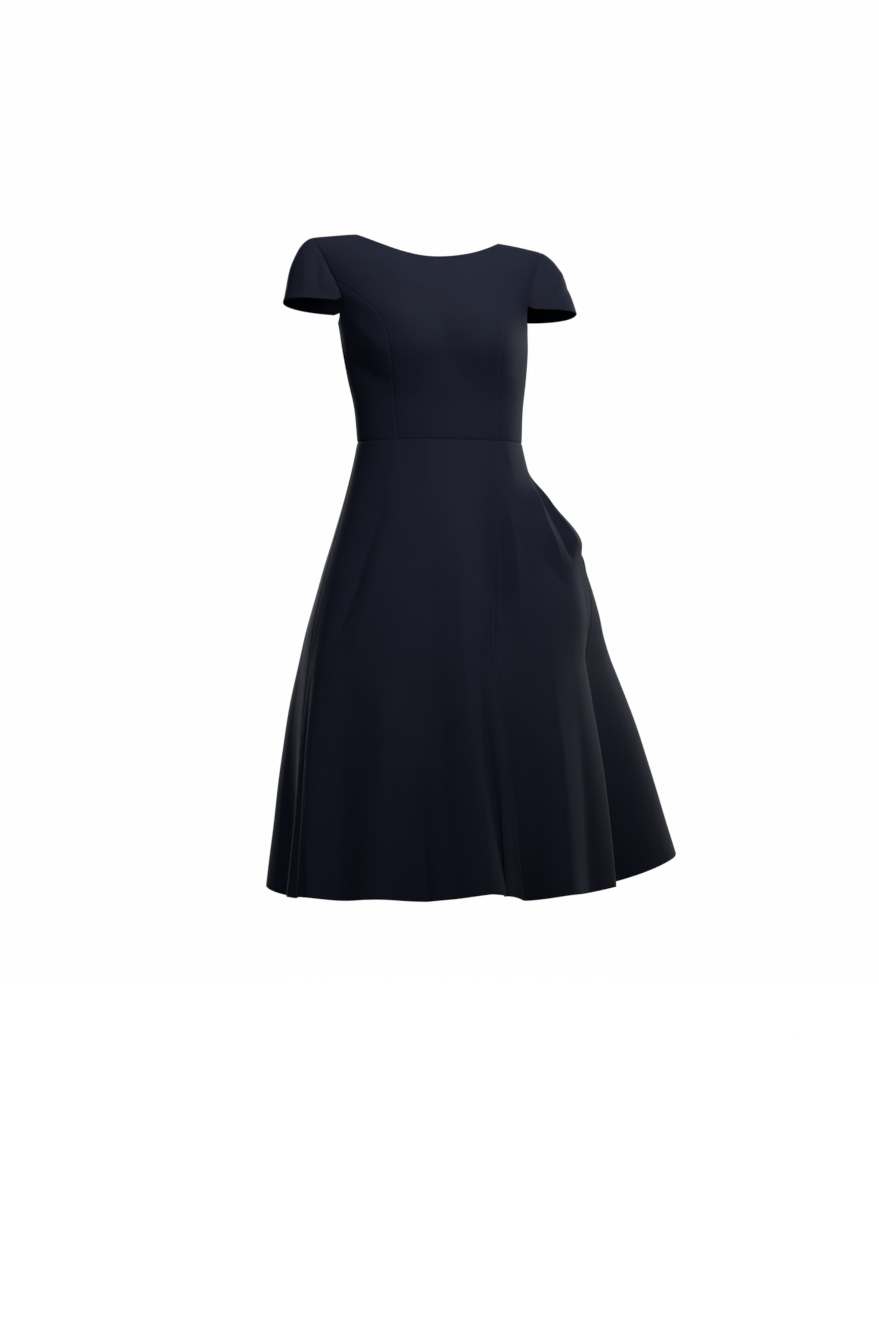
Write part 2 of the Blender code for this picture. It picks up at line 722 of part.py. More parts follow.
def plate(name, frame, outline, low, high, surface):
    """Solid with an outline drawn along the seam and across it, between two heights off the cloth."""
    middle, outward, down = frame
    across = np.cross(outward, down)
    flat = [middle + down * along + across * aside for along, aside in outline]
    vertices = [point + outward * low for point in flat] + [point + outward * high for point in flat]
    return loop_solid(name, vertices, len(flat), surface)


def loop_solid(name, vertices, count, surface):
    """Solid between two like loops of points."""
    made = add_object(name, vertices, [], surface)
    mesh = bmesh.new()
    mesh.from_mesh(made.data)
    mesh.verts.ensure_lookup_table()
    for k in range(count):
        after = (k + 1) % count
        mesh.faces.new([mesh.verts[i] for i in (k, after, after + count, k + count)])
    mesh.faces.new(mesh.verts[:count])
    mesh.faces.new(mesh.verts[count:])
    bmesh.ops.recalc_face_normals(mesh, faces=mesh.faces)
    mesh.to_mesh(made.data)
    mesh.free()
    return made


def rectangle(along, aside):
    """Corners of a rectangle from two pairs of limits."""
    return [(along[0], aside[0]), (along[1], aside[0]), (along[1], aside[1]), (along[0], aside[1])]


def combine(target, tool, operation):
    """Apply one solid to another and keep the tool as a guide only."""
    step = target.modifiers.new(operation.lower(), "BOOLEAN")
    step.operation = operation
    step.object = tool
    tool.hide_render = True
    tool.display_type = "WIRE"


def zip_slider(frame, surface):
    """Slider inside the seam, with a bridge that stands out through the notch to carry the pull."""
    inside = -(CLOTH / 2 + SEAM + SLIDER_PLAY)
    half = SLIDER_LENGTH / 2
    body = rectangle((-half, half), (-SLIDER_WIDTH / 2, SLIDER_WIDTH / 2))
    slider = plate("zip_slider", frame, body, inside - SLIDER_DEPTH, inside, surface)
    foot = inside - SLIDER_DEPTH / 2
    outer, inner = BRIDGE_LENGTH / 2, BRIDGE_LENGTH / 2 - BRIDGE_BAR
    under = BRIDGE_RISE - BRIDGE_BAR
    arch = [(-outer, foot), (-inner, foot), (-inner, under), (inner, under), (inner, foot),
            (outer, foot), (outer, BRIDGE_RISE), (-outer, BRIDGE_RISE)]
    combine(slider, prism("zip_bridge_guide", frame, arch, BRIDGE_WIDTH / 2, surface), "UNION")


def zip_pull(frame, surface):
    """Pull tab, a drop-shaped plate whose eye goes round the slider's bridge."""
    top = -PULL_THICK / 2
    centre = PULL_LENGTH - PULL_END_HALF
    round_end = [(centre + PULL_END_HALF * math.sin(math.radians(a)), PULL_END_HALF * math.cos(math.radians(a)))
                 for a in range(0, 181, PULL_END_STEP)]
    outline = [(top, -PULL_NECK_HALF), (top, PULL_NECK_HALF)] + round_end
    low = PULL_AXIS - PULL_THICK / 2
    pull = plate("zip_pull", frame, outline, low, low + PULL_THICK, surface)
    eye = rectangle((-top, -top + PULL_EYE_LENGTH), (-PULL_EYE_HALF, PULL_EYE_HALF))
    combine(pull, plate("zip_eye_guide", frame, eye, low - EYE_CUT_BELOW, low + EYE_CUT_ABOVE, surface), "DIFFERENCE")


def main():
    """Build the whole dress."""
    for leftover in list(bpy.data.objects):
        bpy.data.objects.remove(leftover, do_unlink=True)
    cloth("bodice_centre_front", centre_front_grid())
    skirt_front = skirt_front_grid()
    cloth("skirt_front", skirt_front)
    for side, word in ((LEFT, "left"), (RIGHT, "right")):
        bodice_back = back_grid(side)
        skirt_back = skirt_back_grid(side)
        cloth(f"bodice_side_front_{word}", side_front_grid(side))
        cloth(f"bodice_back_{word}", bodice_back)
        cloth(f"sleeve_{word}", sleeve_grid(side))
        cloth(f"skirt_back_{word}", skirt_back)
        front_layer, back_layer = pocket_grids(skirt_front, skirt_back, side)
        cloth(f"pocket_{word}_front", front_layer)
        cloth(f"pocket_{word}_back", back_layer)
        cloth(f"zip_tape_{word}", tape_grid(bodice_back, skirt_back, side), TAPE)
    frame = seam_frame()
    zip_slider(frame, material("navy painted zip slider", NICKEL, SLIDER_ROUGHNESS, 1.0))
    zip_pull(frame, material("navy painted zip pull", NICKEL, PULL_ROUGHNESS, 1.0))


main()
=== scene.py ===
"""A knee-length fit-and-flare dress in navy crepe, empty, in the form it keeps when it is worn.

Every panel is a thin shell on the form that its CAD solid gives, with the creases, seams and turned
edges of sewn cloth. Units are metres and +Z is up. The centre front faces -Y and the wearer's left
is +X. The dress hangs from the shoulders and stays in one piece; only the tab of the zip moves.
"""
import logging
import math
from dataclasses import dataclass, field
from enum import Enum
from typing import Callable, NamedTuple

import bpy
import numpy as np
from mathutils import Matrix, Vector

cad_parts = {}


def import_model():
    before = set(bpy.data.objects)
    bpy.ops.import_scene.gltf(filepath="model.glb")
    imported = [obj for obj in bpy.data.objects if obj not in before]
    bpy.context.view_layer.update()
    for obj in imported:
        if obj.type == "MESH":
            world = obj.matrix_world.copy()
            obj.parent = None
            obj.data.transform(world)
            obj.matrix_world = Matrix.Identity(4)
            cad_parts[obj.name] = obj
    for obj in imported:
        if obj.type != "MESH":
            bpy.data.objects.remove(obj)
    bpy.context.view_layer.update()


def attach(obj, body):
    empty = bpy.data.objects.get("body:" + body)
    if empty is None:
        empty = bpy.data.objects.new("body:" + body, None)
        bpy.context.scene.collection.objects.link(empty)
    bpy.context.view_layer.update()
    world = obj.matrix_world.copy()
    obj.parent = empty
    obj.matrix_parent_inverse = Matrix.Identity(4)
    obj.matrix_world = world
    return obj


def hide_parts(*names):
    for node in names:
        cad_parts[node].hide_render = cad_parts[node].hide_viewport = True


LOG = logging.getLogger("dress")

# Cloth: thickness of the crepe and of the zip's tapes, and of the solids that stand for them; the gap
# between those solids; what is left of it where two panels are sewn; and the room inside a turned edge
CREPE_THICK = 0.0009
TAPE_THICK = 0.0007
CAD_CLOTH = 0.0012
CAD_TAPE = 0.0009
SEAM = 0.0003
STITCHED = 0.00005
TURN_GAP = 0.0018

# Turned edges: angles of the rows round the turn, and the most of a panel that is turned back. A
# shell's rim swells by a share of its half thickness, or of the solids' gap where that is less
TURN_ANGLES = (36, 72, 108, 144)
MOST_TURNED = 0.6
RIM_SWELL = 0.3
RIM_IN_SEAM = 0.45

# Pucker of a stitched seam: its wave, the waver of that wave, its depth and how far it reaches
PUCKER_WAVE = 0.0031
PUCKER_WAVER = 1.7
PUCKER_WAVER_WAVE = 0.019
PUCKER_DEPTH = 0.00016
PUCKER_REACH = 0.006

# A crease reaches so many times its wider flank, and fades over the last share of that
CREASE_REACH = 4.5
CREASE_FADE = 0.3

# Places that crowd towards a sewn edge, in steps of the even places, and how far they are spread
NEAR_EDGE = (0.0, 0.12, 0.25, 0.40, 0.60, 0.80)
NEAR_EDGE_SPREAD = 1.6

# Steps along a form that give a slope, and an angle that gives the width of a gap
SLOPE_STEP = 0.002
GAP_STEP = 0.001

WAIST_Z = -0.305
UNDERARM_Z = -0.130
QUARTER = math.pi / 2

Surface = Callable[[np.ndarray, np.ndarray], np.ndarray]


class Side(Enum):
    """Side of the dress as the wearer has it."""

    LEFT = 1
    RIGHT = -1

    @property
    def word(self) -> str:
        """The side's name in small letters."""
        return self.name.lower()


class Face(Enum):
    """Front or back, as the sign of Y."""

    FRONT = -1
    BACK = 1


# ---------------------------------------------------------------------------- curves and creases


@dataclass(frozen=True)
class Curve:
    """Smooth curve through knots, level where its values turn."""

    knots: tuple[float, ...]
    values: tuple[float, ...]

    def __call__(self, at: np.ndarray | float) -> np.ndarray:
        """Values of the curve.

        Args:
            at: places along the knots; beyond the ends the end values hold.

        Returns:
            One value for each place.
        """
        x = np.asarray(self.knots)
        y = np.asarray(self.values)
        rates = np.diff(y) / np.diff(x)
        before, after = rates[:-1], rates[1:]
        turns = before * after <= 0
        inner = np.where(turns, 0.0, 2 * before * after / np.where(turns, 1.0, before + after))
        slopes = np.concatenate((rates[:1], inner, rates[-1:]))
        at = np.clip(at, x[0], x[-1])
        i = np.clip(np.searchsorted(x, at, side="right") - 1, 0, len(x) - 2)
        step = x[i + 1] - x[i]
        t = (at - x[i]) / step
        level = (1 + 2 * t) * (1 - t) ** 2 * y[i] + t * t * (3 - 2 * t) * y[i + 1]
        return level + t * (1 - t) ** 2 * step * slopes[i] + t * t * (t - 1) * step * slopes[i + 1]


def bump(*offsets: np.ndarray) -> np.ndarray:
    """Swelling that is 1 at its centre and ends level where the offsets reach 1."""
    square = sum(offset * offset for offset in offsets)
    return np.clip(1 - square, 0.0, None) ** 2


def unit(vectors: np.ndarray) -> np.ndarray:
    """The vectors at length 1."""
    return vectors / np.linalg.norm(vectors, axis=-1, keepdims=True)


def ease(at: np.ndarray) -> np.ndarray:
    """Smooth step from 0 to 1."""
    at = np.clip(at, 0.0, 1.0)
    return at * at * (3 - 2 * at)


def outward(surface: Surface, u: np.ndarray, v: np.ndarray, centre: np.ndarray,
            step: float = SLOPE_STEP) -> np.ndarray:
    """Unit normals of a surface.

    Args:
        surface: gives the points at (u, v).
        u: places across.
        v: places along.
        centre: a point inside for each place.
        step: how far apart the points are that give the slope.

    Returns:
        Normals that point away from the centre.
    """
    across = surface(u + step, v) - surface(u - step, v)
    along = surface(u, v + step) - surface(u, v - step)
    normals = unit(np.cross(across, along))
    inward = np.sum(normals * (surface(u, v) - centre), axis=-1, keepdims=True) < 0
    return np.where(inward, -normals, normals)


@dataclass(frozen=True)
class Crease:
    """Ridge or trough along a path on the cloth.

    The knots are places on the panel's form, and depths are the heights in millimetres there,
    outwards where positive. The widths are how fast the flank falls on each side, in millimetres,
    right and left as the wearer has them, and crest is how round the top is.
    """

    knots: tuple[tuple[float, float], ...]
    depths: tuple[float, ...]
    right: float
    left: float
    crest: float = 4.0
    samples: int = 56

    def lift(self, points: np.ndarray, normals: np.ndarray,
             place: Callable[[np.ndarray, np.ndarray], np.ndarray]) -> np.ndarray:
        """Height that the crease gives each point of a panel.

        Args:
            points: points of the panel.
            normals: their normals.
            place: turns knots into points of the form.

        Returns:
            Heights in metres along the normals.
        """
        t = np.linspace(0, 1, len(self.knots))
        s = np.linspace(0, 1, self.samples)
        knots = np.array(self.knots)
        path = place(Curve(tuple(t), tuple(knots[:, 0]))(s), Curve(tuple(t), tuple(knots[:, 1]))(s))
        height = Curve(tuple(t), self.depths)(s) / 1000
        tangents = unit(np.gradient(path, axis=0))
        flat = points.reshape(-1, 3)
        out = normals.reshape(-1, 3)
        reach = CREASE_REACH * max(self.right, self.left) / 1000
        near = np.all((flat > path.min(0) - reach) & (flat < path.max(0) + reach), axis=1)
        total = np.zeros(len(flat))
        if near.any():
            gaps = flat[near][:, None, :] - path[None]
            nearest = np.argmin(np.sum(gaps * gaps, axis=2), axis=1)
            gap = gaps[np.arange(len(nearest)), nearest]
            ahead = np.sum(gap * tangents[nearest], axis=1)
            beyond = ((nearest == 0) & (ahead < 0)) | ((nearest == self.samples - 1) & (ahead > 0))
            ahead = np.where(beyond, 0.0, ahead)
            gap = gap - ahead[:, None] * tangents[nearest]
            side = np.sum(np.cross(out[near], tangents[nearest]) * gap, axis=1)
            distance = np.linalg.norm(gap, axis=1) * 1000
            spacing = np.linalg.norm(path[-1] - path[0]) / (self.samples - 1)
            height = np.interp(nearest + ahead / spacing, np.arange(self.samples), height)
            width = np.where(side > 0, self.left, self.right)
            round_top = np.sqrt(distance ** 2 + self.crest ** 2) - self.crest
            fade = ease((reach * 1000 - distance) / (CREASE_FADE * reach * 1000))
            total[near] = height * np.exp(-round_top / width) * fade
        return total.reshape(points.shape[:-1])


class Wave(NamedTuple):
    """Sine wave through space: radians a metre along x, y and z, and its phase."""

    x: float
    y: float
    z: float
    phase: float

    def at(self, points: np.ndarray) -> np.ndarray:
        """The wave's values at the points."""
        return np.sin(points @ np.array((self.x, self.y, self.z)) + self.phase)


def unevenness(points: np.ndarray, size: float = 0.00035) -> np.ndarray:
    """Slow waver of the cloth.

    Args:
        points: points of a panel.
        size: height of its longest waves.

    Returns:
        Heights in metres along the normals.
    """
    long = Wave(61, 0, 17, 1.3).at(points) * Wave(0, -31, 23, 0.4).at(points)
    short = Wave(97, -41, 0, 2.1).at(points) * Wave(0, 0, 37, 0.9).at(points)
    slanting = Wave(53, 47, 19, 4.0).at(points)
    return size * (long + 0.6 * short + 0.5 * slanting)


# ---------------------------------------------------------------------------- panels of cloth


@dataclass
class Panel:
    """Middle surface of a piece of cloth: rows from one end to the other, columns across."""

    points: np.ndarray
    normals: np.ndarray

    def travelled(self, axis: int) -> np.ndarray:
        """Distance along the cloth.

        Args:
            axis: 0 for down the rows, 1 for across the columns.

        Returns:
            For each point its distance from the first row or column.
        """
        steps = np.linalg.norm(np.diff(self.points, axis=axis), axis=-1)
        start = np.zeros_like(np.take(steps, [0], axis=axis))
        return np.cumsum(np.concatenate((start, steps), axis=axis), axis=axis)

    def crease(self, creases: tuple[Crease, ...], place: Callable) -> None:
        """Lift the cloth by its creases and its slow waver.

        Args:
            creases: the ridges and troughs.
            place: turns their knots into points of the form.
        """
        lift = unevenness(self.points)
        for one in creases:
            lift = lift + one.lift(self.points, self.normals, place)
        self.points = self.points + self.normals * lift[..., None]

    def seam(self, start: bool = False, end: bool = False, first: bool = False,
             last: bool = False, depth: float = 0.0006, width: float = 0.0017) -> None:
        """Roll the cloth in at its sewn edges, with the faint pucker of a stitched seam.

        Args:
            start: the first row is sewn.
            end: the last row is sewn.
            first: the first column is sewn.
            last: the last column is sewn.
            depth: how far the edge rolls in.
            width: how wide the roll is.
        """
        lift = np.zeros(self.points.shape[:-1])
        for axis, low, high in ((0, start, end), (1, first, last)):
            there = self.travelled(axis)
            along = self.travelled(1 - axis)
            waver = PUCKER_WAVER * np.sin(along / PUCKER_WAVER_WAVE)
            pucker = 0.5 + 0.5 * np.sin(along / PUCKER_WAVE + waver)
            for sewn, distance in ((low, there), (high, np.take(there, [-1], axis=axis) - there)):
                if sewn:
                    lift -= depth * np.exp(-(distance / width) ** 2)
                    lift -= PUCKER_DEPTH * pucker * np.exp(-(distance / PUCKER_REACH) ** 2)
        self.points = self.points + self.normals * lift[..., None]

    def copy(self) -> "Panel":
        """Another panel like this one."""
        return Panel(self.points.copy(), self.normals.copy())

    def turn_under(self, depth: np.ndarray | float, rows: int = 6) -> None:
        """Fold the edge at the last row to the inside.

        Args:
            depth: how far the turned edge reaches back, for the whole edge or each column.
            rows: rows of cloth in the turned part.
        """
        columns = self.points.shape[1]
        depth = np.broadcast_to(depth, (columns,))
        ends, normals = self.points[-1], self.normals[-1]
        down = unit(self.points[-1] - self.points[-2])
        radius = TURN_GAP / 2
        new_points, new_normals = [], []
        for angle in np.radians(TURN_ANGLES):
            inwards = normals * radius * (1 - math.cos(angle))
            new_points.append(ends + down * radius * math.sin(angle) - inwards)
            new_normals.append(normals * math.cos(angle) + down * math.sin(angle))
        there = self.travelled(0)
        back = there[-1] - there
        depth = np.minimum(depth, MOST_TURNED * back[0])
        for k in range(rows + 1):
            row = np.empty((columns, 3))
            row_normals = np.empty((columns, 3))
            for j in range(columns):
                at = depth[j] * k / rows
                for axis in range(3):
                    row[j, axis] = np.interp(at, back[::-1, j], self.points[::-1, j, axis])
                    row_normals[j, axis] = np.interp(at, back[::-1, j], self.normals[::-1, j, axis])
            new_points.append(row - row_normals * TURN_GAP)
            new_normals.append(-row_normals)
        self.points = np.concatenate((self.points, new_points))
        self.normals = np.concatenate((self.normals, new_normals))

    def make(self, name: str, thickness: float, surface: bpy.types.Material) -> bpy.types.Object:
        """Closed shell with this surface in its middle.

        Args:
            name: the piece's name.
            thickness: the cloth's thickness.
            surface: its material.

        Returns:
            The piece, with a UV map in metres along the grain.
        """
        rows, columns = self.points.shape[:2]
        count = rows * columns
        half = thickness / 2
        outer = (self.points + self.normals * half).reshape(-1, 3)
        inner = (self.points - self.normals * half).reshape(-1, 3)
        index = np.arange(count).reshape(rows, columns)
        a, b, c, d = index[:-1, :-1], index[1:, :-1], index[1:, 1:], index[:-1, 1:]
        quads = np.stack((a, b, c, d), axis=-1).reshape(-1, 4)
        ring = np.concatenate((index[0, :-1], index[:-1, -1], index[-1, :0:-1], index[:0:-1, 0]))
        away = np.concatenate((
            self.points[0, :-1] - self.points[1, :-1], self.points[:-1, -1] - self.points[:-1, -2],
            self.points[-1, :0:-1] - self.points[-2, :0:-1], self.points[:0:-1, 0] - self.points[:0:-1, 1]))
        swell = min(half * RIM_SWELL, SEAM * RIM_IN_SEAM)
        edge = self.points.reshape(-1, 3)[ring] + unit(away) * swell
        after = np.roll(ring, -1)
        middle = np.arange(len(ring)) + 2 * count
        middle_after = np.roll(middle, -1)
        faces = np.concatenate((quads, quads[:, ::-1] + count,
                                np.stack((ring, after, middle_after, middle), axis=-1),
                                np.stack((middle, middle_after, after + count, ring + count), axis=-1)))
        crossed = np.cross(self.points[1, 0] - self.points[0, 0], self.points[0, 1] - self.points[0, 0])
        if np.dot(crossed, self.normals[0, 0]) < 0:
            faces = faces[:, ::-1]
        across = self.travelled(1)
        across = across - across[:, columns // 2][:, None]
        grain = np.stack((across, -self.travelled(0)), axis=-1).reshape(-1, 2)
        grain = np.concatenate((grain, grain, grain[ring]))
        mesh = bpy.data.meshes.new(name)
        mesh.from_pydata(np.concatenate((outer, inner, edge)).tolist(), [], faces.tolist())
        corners = np.empty(len(mesh.loops), dtype=np.int32)
        mesh.loops.foreach_get("vertex_index", corners)
        mesh.uv_layers.new(name="grain").data.foreach_set("uv", grain[corners].ravel())
        mesh.materials.append(surface)
        mesh.shade_smooth()
        made = bpy.data.objects.new(name, mesh)
        bpy.context.scene.collection.objects.link(made)
        return made


class Cut(NamedTuple):
    """Flat size of a piece as it is cut: the box round it and its own area."""

    width: float
    length: float
    area: float


def hand_in(piece: bpy.types.Object, node: str, cut: Cut) -> None:
    """Put a piece of cloth on the body of the dress and say what it stands for.

    Args:
        piece: the finished piece.
        node: CAD node that it replaces.
        cut: its flat size.
    """
    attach(piece, "dress")
    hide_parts(node)
    LOG.info("%s: %d faces, cut %.3f m2", piece.name, len(piece.data.polygons), cut.area)


def near_edges(count: int, first: bool = True, last: bool = True) -> np.ndarray:
    """Places from 0 to 1 that crowd towards sewn edges.

    Args:
        count: how many places lie between the edges.
        first: crowd at 0.
        last: crowd at 1.

    Returns:
        The places in order.
    """
    fine = np.array(NEAR_EDGE) * NEAR_EDGE_SPREAD / count
    places = [np.linspace(0, 1, count + 1)]
    if first:
        places.append(fine)
    if last:
        places.append(1 - fine)
    return np.unique(np.concatenate(places))


# ---------------------------------------------------------------------------- form of the bodice


# Heights at which the bodice is measured, from the waist to the shoulders
BODICE_LEVELS = (-0.305, -0.260, -0.210, -0.165, -0.130, -0.090, -0.050, 0.0)


@dataclass(frozen=True)
class BodiceForm:
    """Form of the bodice: an angle from the centre line and a row, 0 at waist and 2 at shoulder."""

    half_width: Curve = Curve(BODICE_LEVELS, (0.124, 0.127, 0.1345, 0.140, 0.143, 0.160, 0.174, 0.195))
    front: Curve = Curve(BODICE_LEVELS, (0.088, 0.090, 0.096, 0.101, 0.101, 0.096, 0.092, 0.090))
    back: Curve = Curve(BODICE_LEVELS, (0.072, 0.076, 0.086, 0.094, 0.096, 0.094, 0.090, 0.088))
    lean: Curve = Curve(BODICE_LEVELS, (0.0, -0.001, -0.004, -0.007, -0.010, -0.014, -0.018, -0.020))
    princess: Curve = Curve((-0.305, -0.230, -0.160, -0.126, -0.105, -0.087, -0.066),
                            (0.0760, 0.0800, 0.0860, 0.0940, 0.1090, 0.1280, 0.1560))
    neck_half_width: float = 0.109
    neck_drop_front: float = 0.036
    neck_drop_back: float = 0.042
    neck_column: float = 0.54
    shoulder_slope: float = 0.49
    shoulder_tilt: float = 0.042
    armhole_cut: float = math.radians(27)
    armhole_back_extra: float = math.radians(6)
    armhole_wide_z: float = -0.085
    bust_depth: float = 0.019
    bust_x: float = 0.082
    bust_z: float = -0.160
    bust_reach_x: float = 0.085
    bust_reach_z: float = 0.088
    princess_top: float = 1.32
    princess_tip: float = 0.002
    level_rows: float = 0.05
    centre_sink: float = 0.02

    def pose(self, points: np.ndarray) -> np.ndarray:
        """Lean and tilt the bodice, more the higher it is.

        Args:
            points: points of the bodice as if it stood upright.

        Returns:
            The points where the dress has them.
        """
        x, y, z = points[..., 0], points[..., 1], points[..., 2]
        rise = (z - WAIST_Z) / -WAIST_Z
        return np.stack((x + self.lean(z), y, z - self.shoulder_tilt * x * rise), axis=-1)

    def height(self, v: np.ndarray) -> np.ndarray:
        """Height of a row: straight up to the underarm, then round over to the shoulder seam.

        Args:
            v: rows.

        Returns:
            Heights in metres.
        """
        over = np.maximum(v, 1.0) - 1
        straight = WAIST_Z + (UNDERARM_Z - WAIST_Z) * v
        return np.where(v <= 1, straight, UNDERARM_Z * (1 - np.sin(over * QUARTER)))

    def row(self, z: np.ndarray) -> np.ndarray:
        """Row at a height.

        Args:
            z: heights in metres.

        Returns:
            Rows, from 0 at the waist to 2 at the shoulder.
        """
        low = (z - WAIST_Z) / (UNDERARM_Z - WAIST_Z)
        high = 1 + np.arcsin(np.clip(1 - z / UNDERARM_Z, -1, 1)) / QUARTER
        return np.where(low <= 1, low, high)

    def point(self, face: Face, turn: np.ndarray, v: np.ndarray) -> np.ndarray:
        """Points of the form.

        Args:
            face: front or back.
            turn: angles from the centre line.
            v: rows.

        Returns:
            The points.
        """
        z = self.height(v)
        closing = np.cos((np.maximum(v, 1.0) - 1) * QUARTER)
        depth = (self.front if face is Face.FRONT else self.back)(z) * closing
        x = self.half_width(z) * np.sin(turn)
        y = face.value * depth * np.cos(turn)
        if face is Face.FRONT:
            aside = (np.abs(x) - self.bust_x) / self.bust_reach_x
            y = y - self.bust_depth * bump(aside, (z - self.bust_z) / self.bust_reach_z) * np.cos(turn)
        slope = self.shoulder_slope * (1 - closing ** 2)
        return self.pose(np.stack((x, y, z - slope * (x * x - self.neck_half_width ** 2)), axis=-1))

    def normals(self, face: Face, turn: np.ndarray, v: np.ndarray) -> np.ndarray:
        """Outward normals, level at the waist so that the seam there is flat.

        Args:
            face: front or back.
            turn: angles from the centre line.
            v: rows.

        Returns:
            The normals.
        """
        level = self.height(v) - self.centre_sink * np.maximum(v - 1, 0)
        inside = np.stack((np.zeros_like(v), np.zeros_like(v), level), axis=-1)
        found = outward(lambda a, b: self.point(face, a, b), turn, v, inside)
        found[..., 2] *= ease(v / self.level_rows)
        return unit(found)

    def turn_for(self, face: Face, turn: np.ndarray, v: np.ndarray,
                 distance: np.ndarray | float) -> np.ndarray:
        """Change of angle that moves points round the body.

        Args:
            face: front or back.
            turn: angles from the centre line.
            v: rows.
            distance: how far they move, in metres.

        Returns:
            The changes of angle.
        """
        travel = self.point(face, turn + GAP_STEP, v) - self.point(face, turn - GAP_STEP, v)
        return distance * 2 * GAP_STEP / np.linalg.norm(travel, axis=-1)

    def armhole_turn(self, face: Face, v: np.ndarray) -> np.ndarray:
        """Angle of the armhole's edge, or of the side seam below it.

        Args:
            face: front or back.
            v: rows.

        Returns:
            Angles from the centre line.
        """
        below = np.maximum(self.armhole_wide_z - self.height(v), 0) / (self.armhole_wide_z - UNDERARM_Z)
        cut = np.full_like(v, self.armhole_cut)
        if face is Face.BACK:
            cut = cut + self.armhole_back_extra * np.cos((v - 1) * QUARTER)
        return QUARTER - np.where(v <= 1, 0.0, cut * np.sqrt(np.clip(1 - below * below, 0, None)))

    def princess_turn(self, v: np.ndarray) -> np.ndarray:
        """Angle of the princess seam, or of the armhole's edge above it.

        Args:
            v: rows.

        Returns:
            Angles from the centre line.
        """
        armhole = self.armhole_turn(Face.FRONT, v)
        z = self.height(v)
        share = np.arcsin(np.clip(self.princess(z) / self.half_width(z), 0, 1))
        inside = armhole - self.turn_for(Face.FRONT, armhole, v, self.princess_tip)
        return np.where(v > self.princess_top, armhole, np.minimum(share, inside))

    def column_row(self, face: Face, column: np.ndarray, v: np.ndarray) -> np.ndarray:
        """Row v of the whole bodice moved to where a column has it, clear of the seams.

        Args:
            face: front or back.
            column: share of the way from the centre line to the armhole.
            v: rows of the whole bodice.

        Returns:
            Rows of the form.
        """
        drop = self.neck_drop_front if face is Face.FRONT else self.neck_drop_back
        dip = 1 - math.asin(1 + drop / UNDERARM_Z) / QUARTER
        share = np.minimum(np.abs(column) / self.neck_column, 1.0)
        top = 2 - dip * np.sqrt(1 - share * share)
        above = 1 + (v - 1) * (top - 1)
        shoulder_turn = column * self.armhole_turn(face, np.full_like(v, 2.0))
        shoulder = 2 - STITCHED / (self.front(0.0) * np.cos(shoulder_turn)) / math.pi
        above = np.where((v >= 2) & (share >= 1), shoulder, above)
        return np.where(v <= 0, STITCHED / 2 / (UNDERARM_Z - WAIST_Z), np.where(v <= 1, v, above))

    def place(self, face: Face) -> Callable[[np.ndarray, np.ndarray], np.ndarray]:
        """Knots of a crease on one face: degrees from the centre line, and a height in metres."""
        return lambda degrees, z: self.point(face, np.radians(degrees), self.row(z))


# Rows of the bodice's shells, from the waist to the underarm and on to the shoulder, closer together
# where the cloth is sewn or bends
LOWER_ROWS = np.unique(np.concatenate((np.linspace(0, 1, 56), (0.004, 0.010, 0.018, 0.028, 0.99, 0.996))))
UPPER_ROWS = np.unique(np.concatenate((
    (1.003, 1.008, 1.016, 1.028, 1.045, 1.065, 1.09, 1.16, 1.32, 1.332), np.linspace(1.09, 1.32, 16),
    np.linspace(1.332, 2.0, 44), (1.985, 1.993, 1.997))))


# ---------------------------------------------------------------------------- bodice


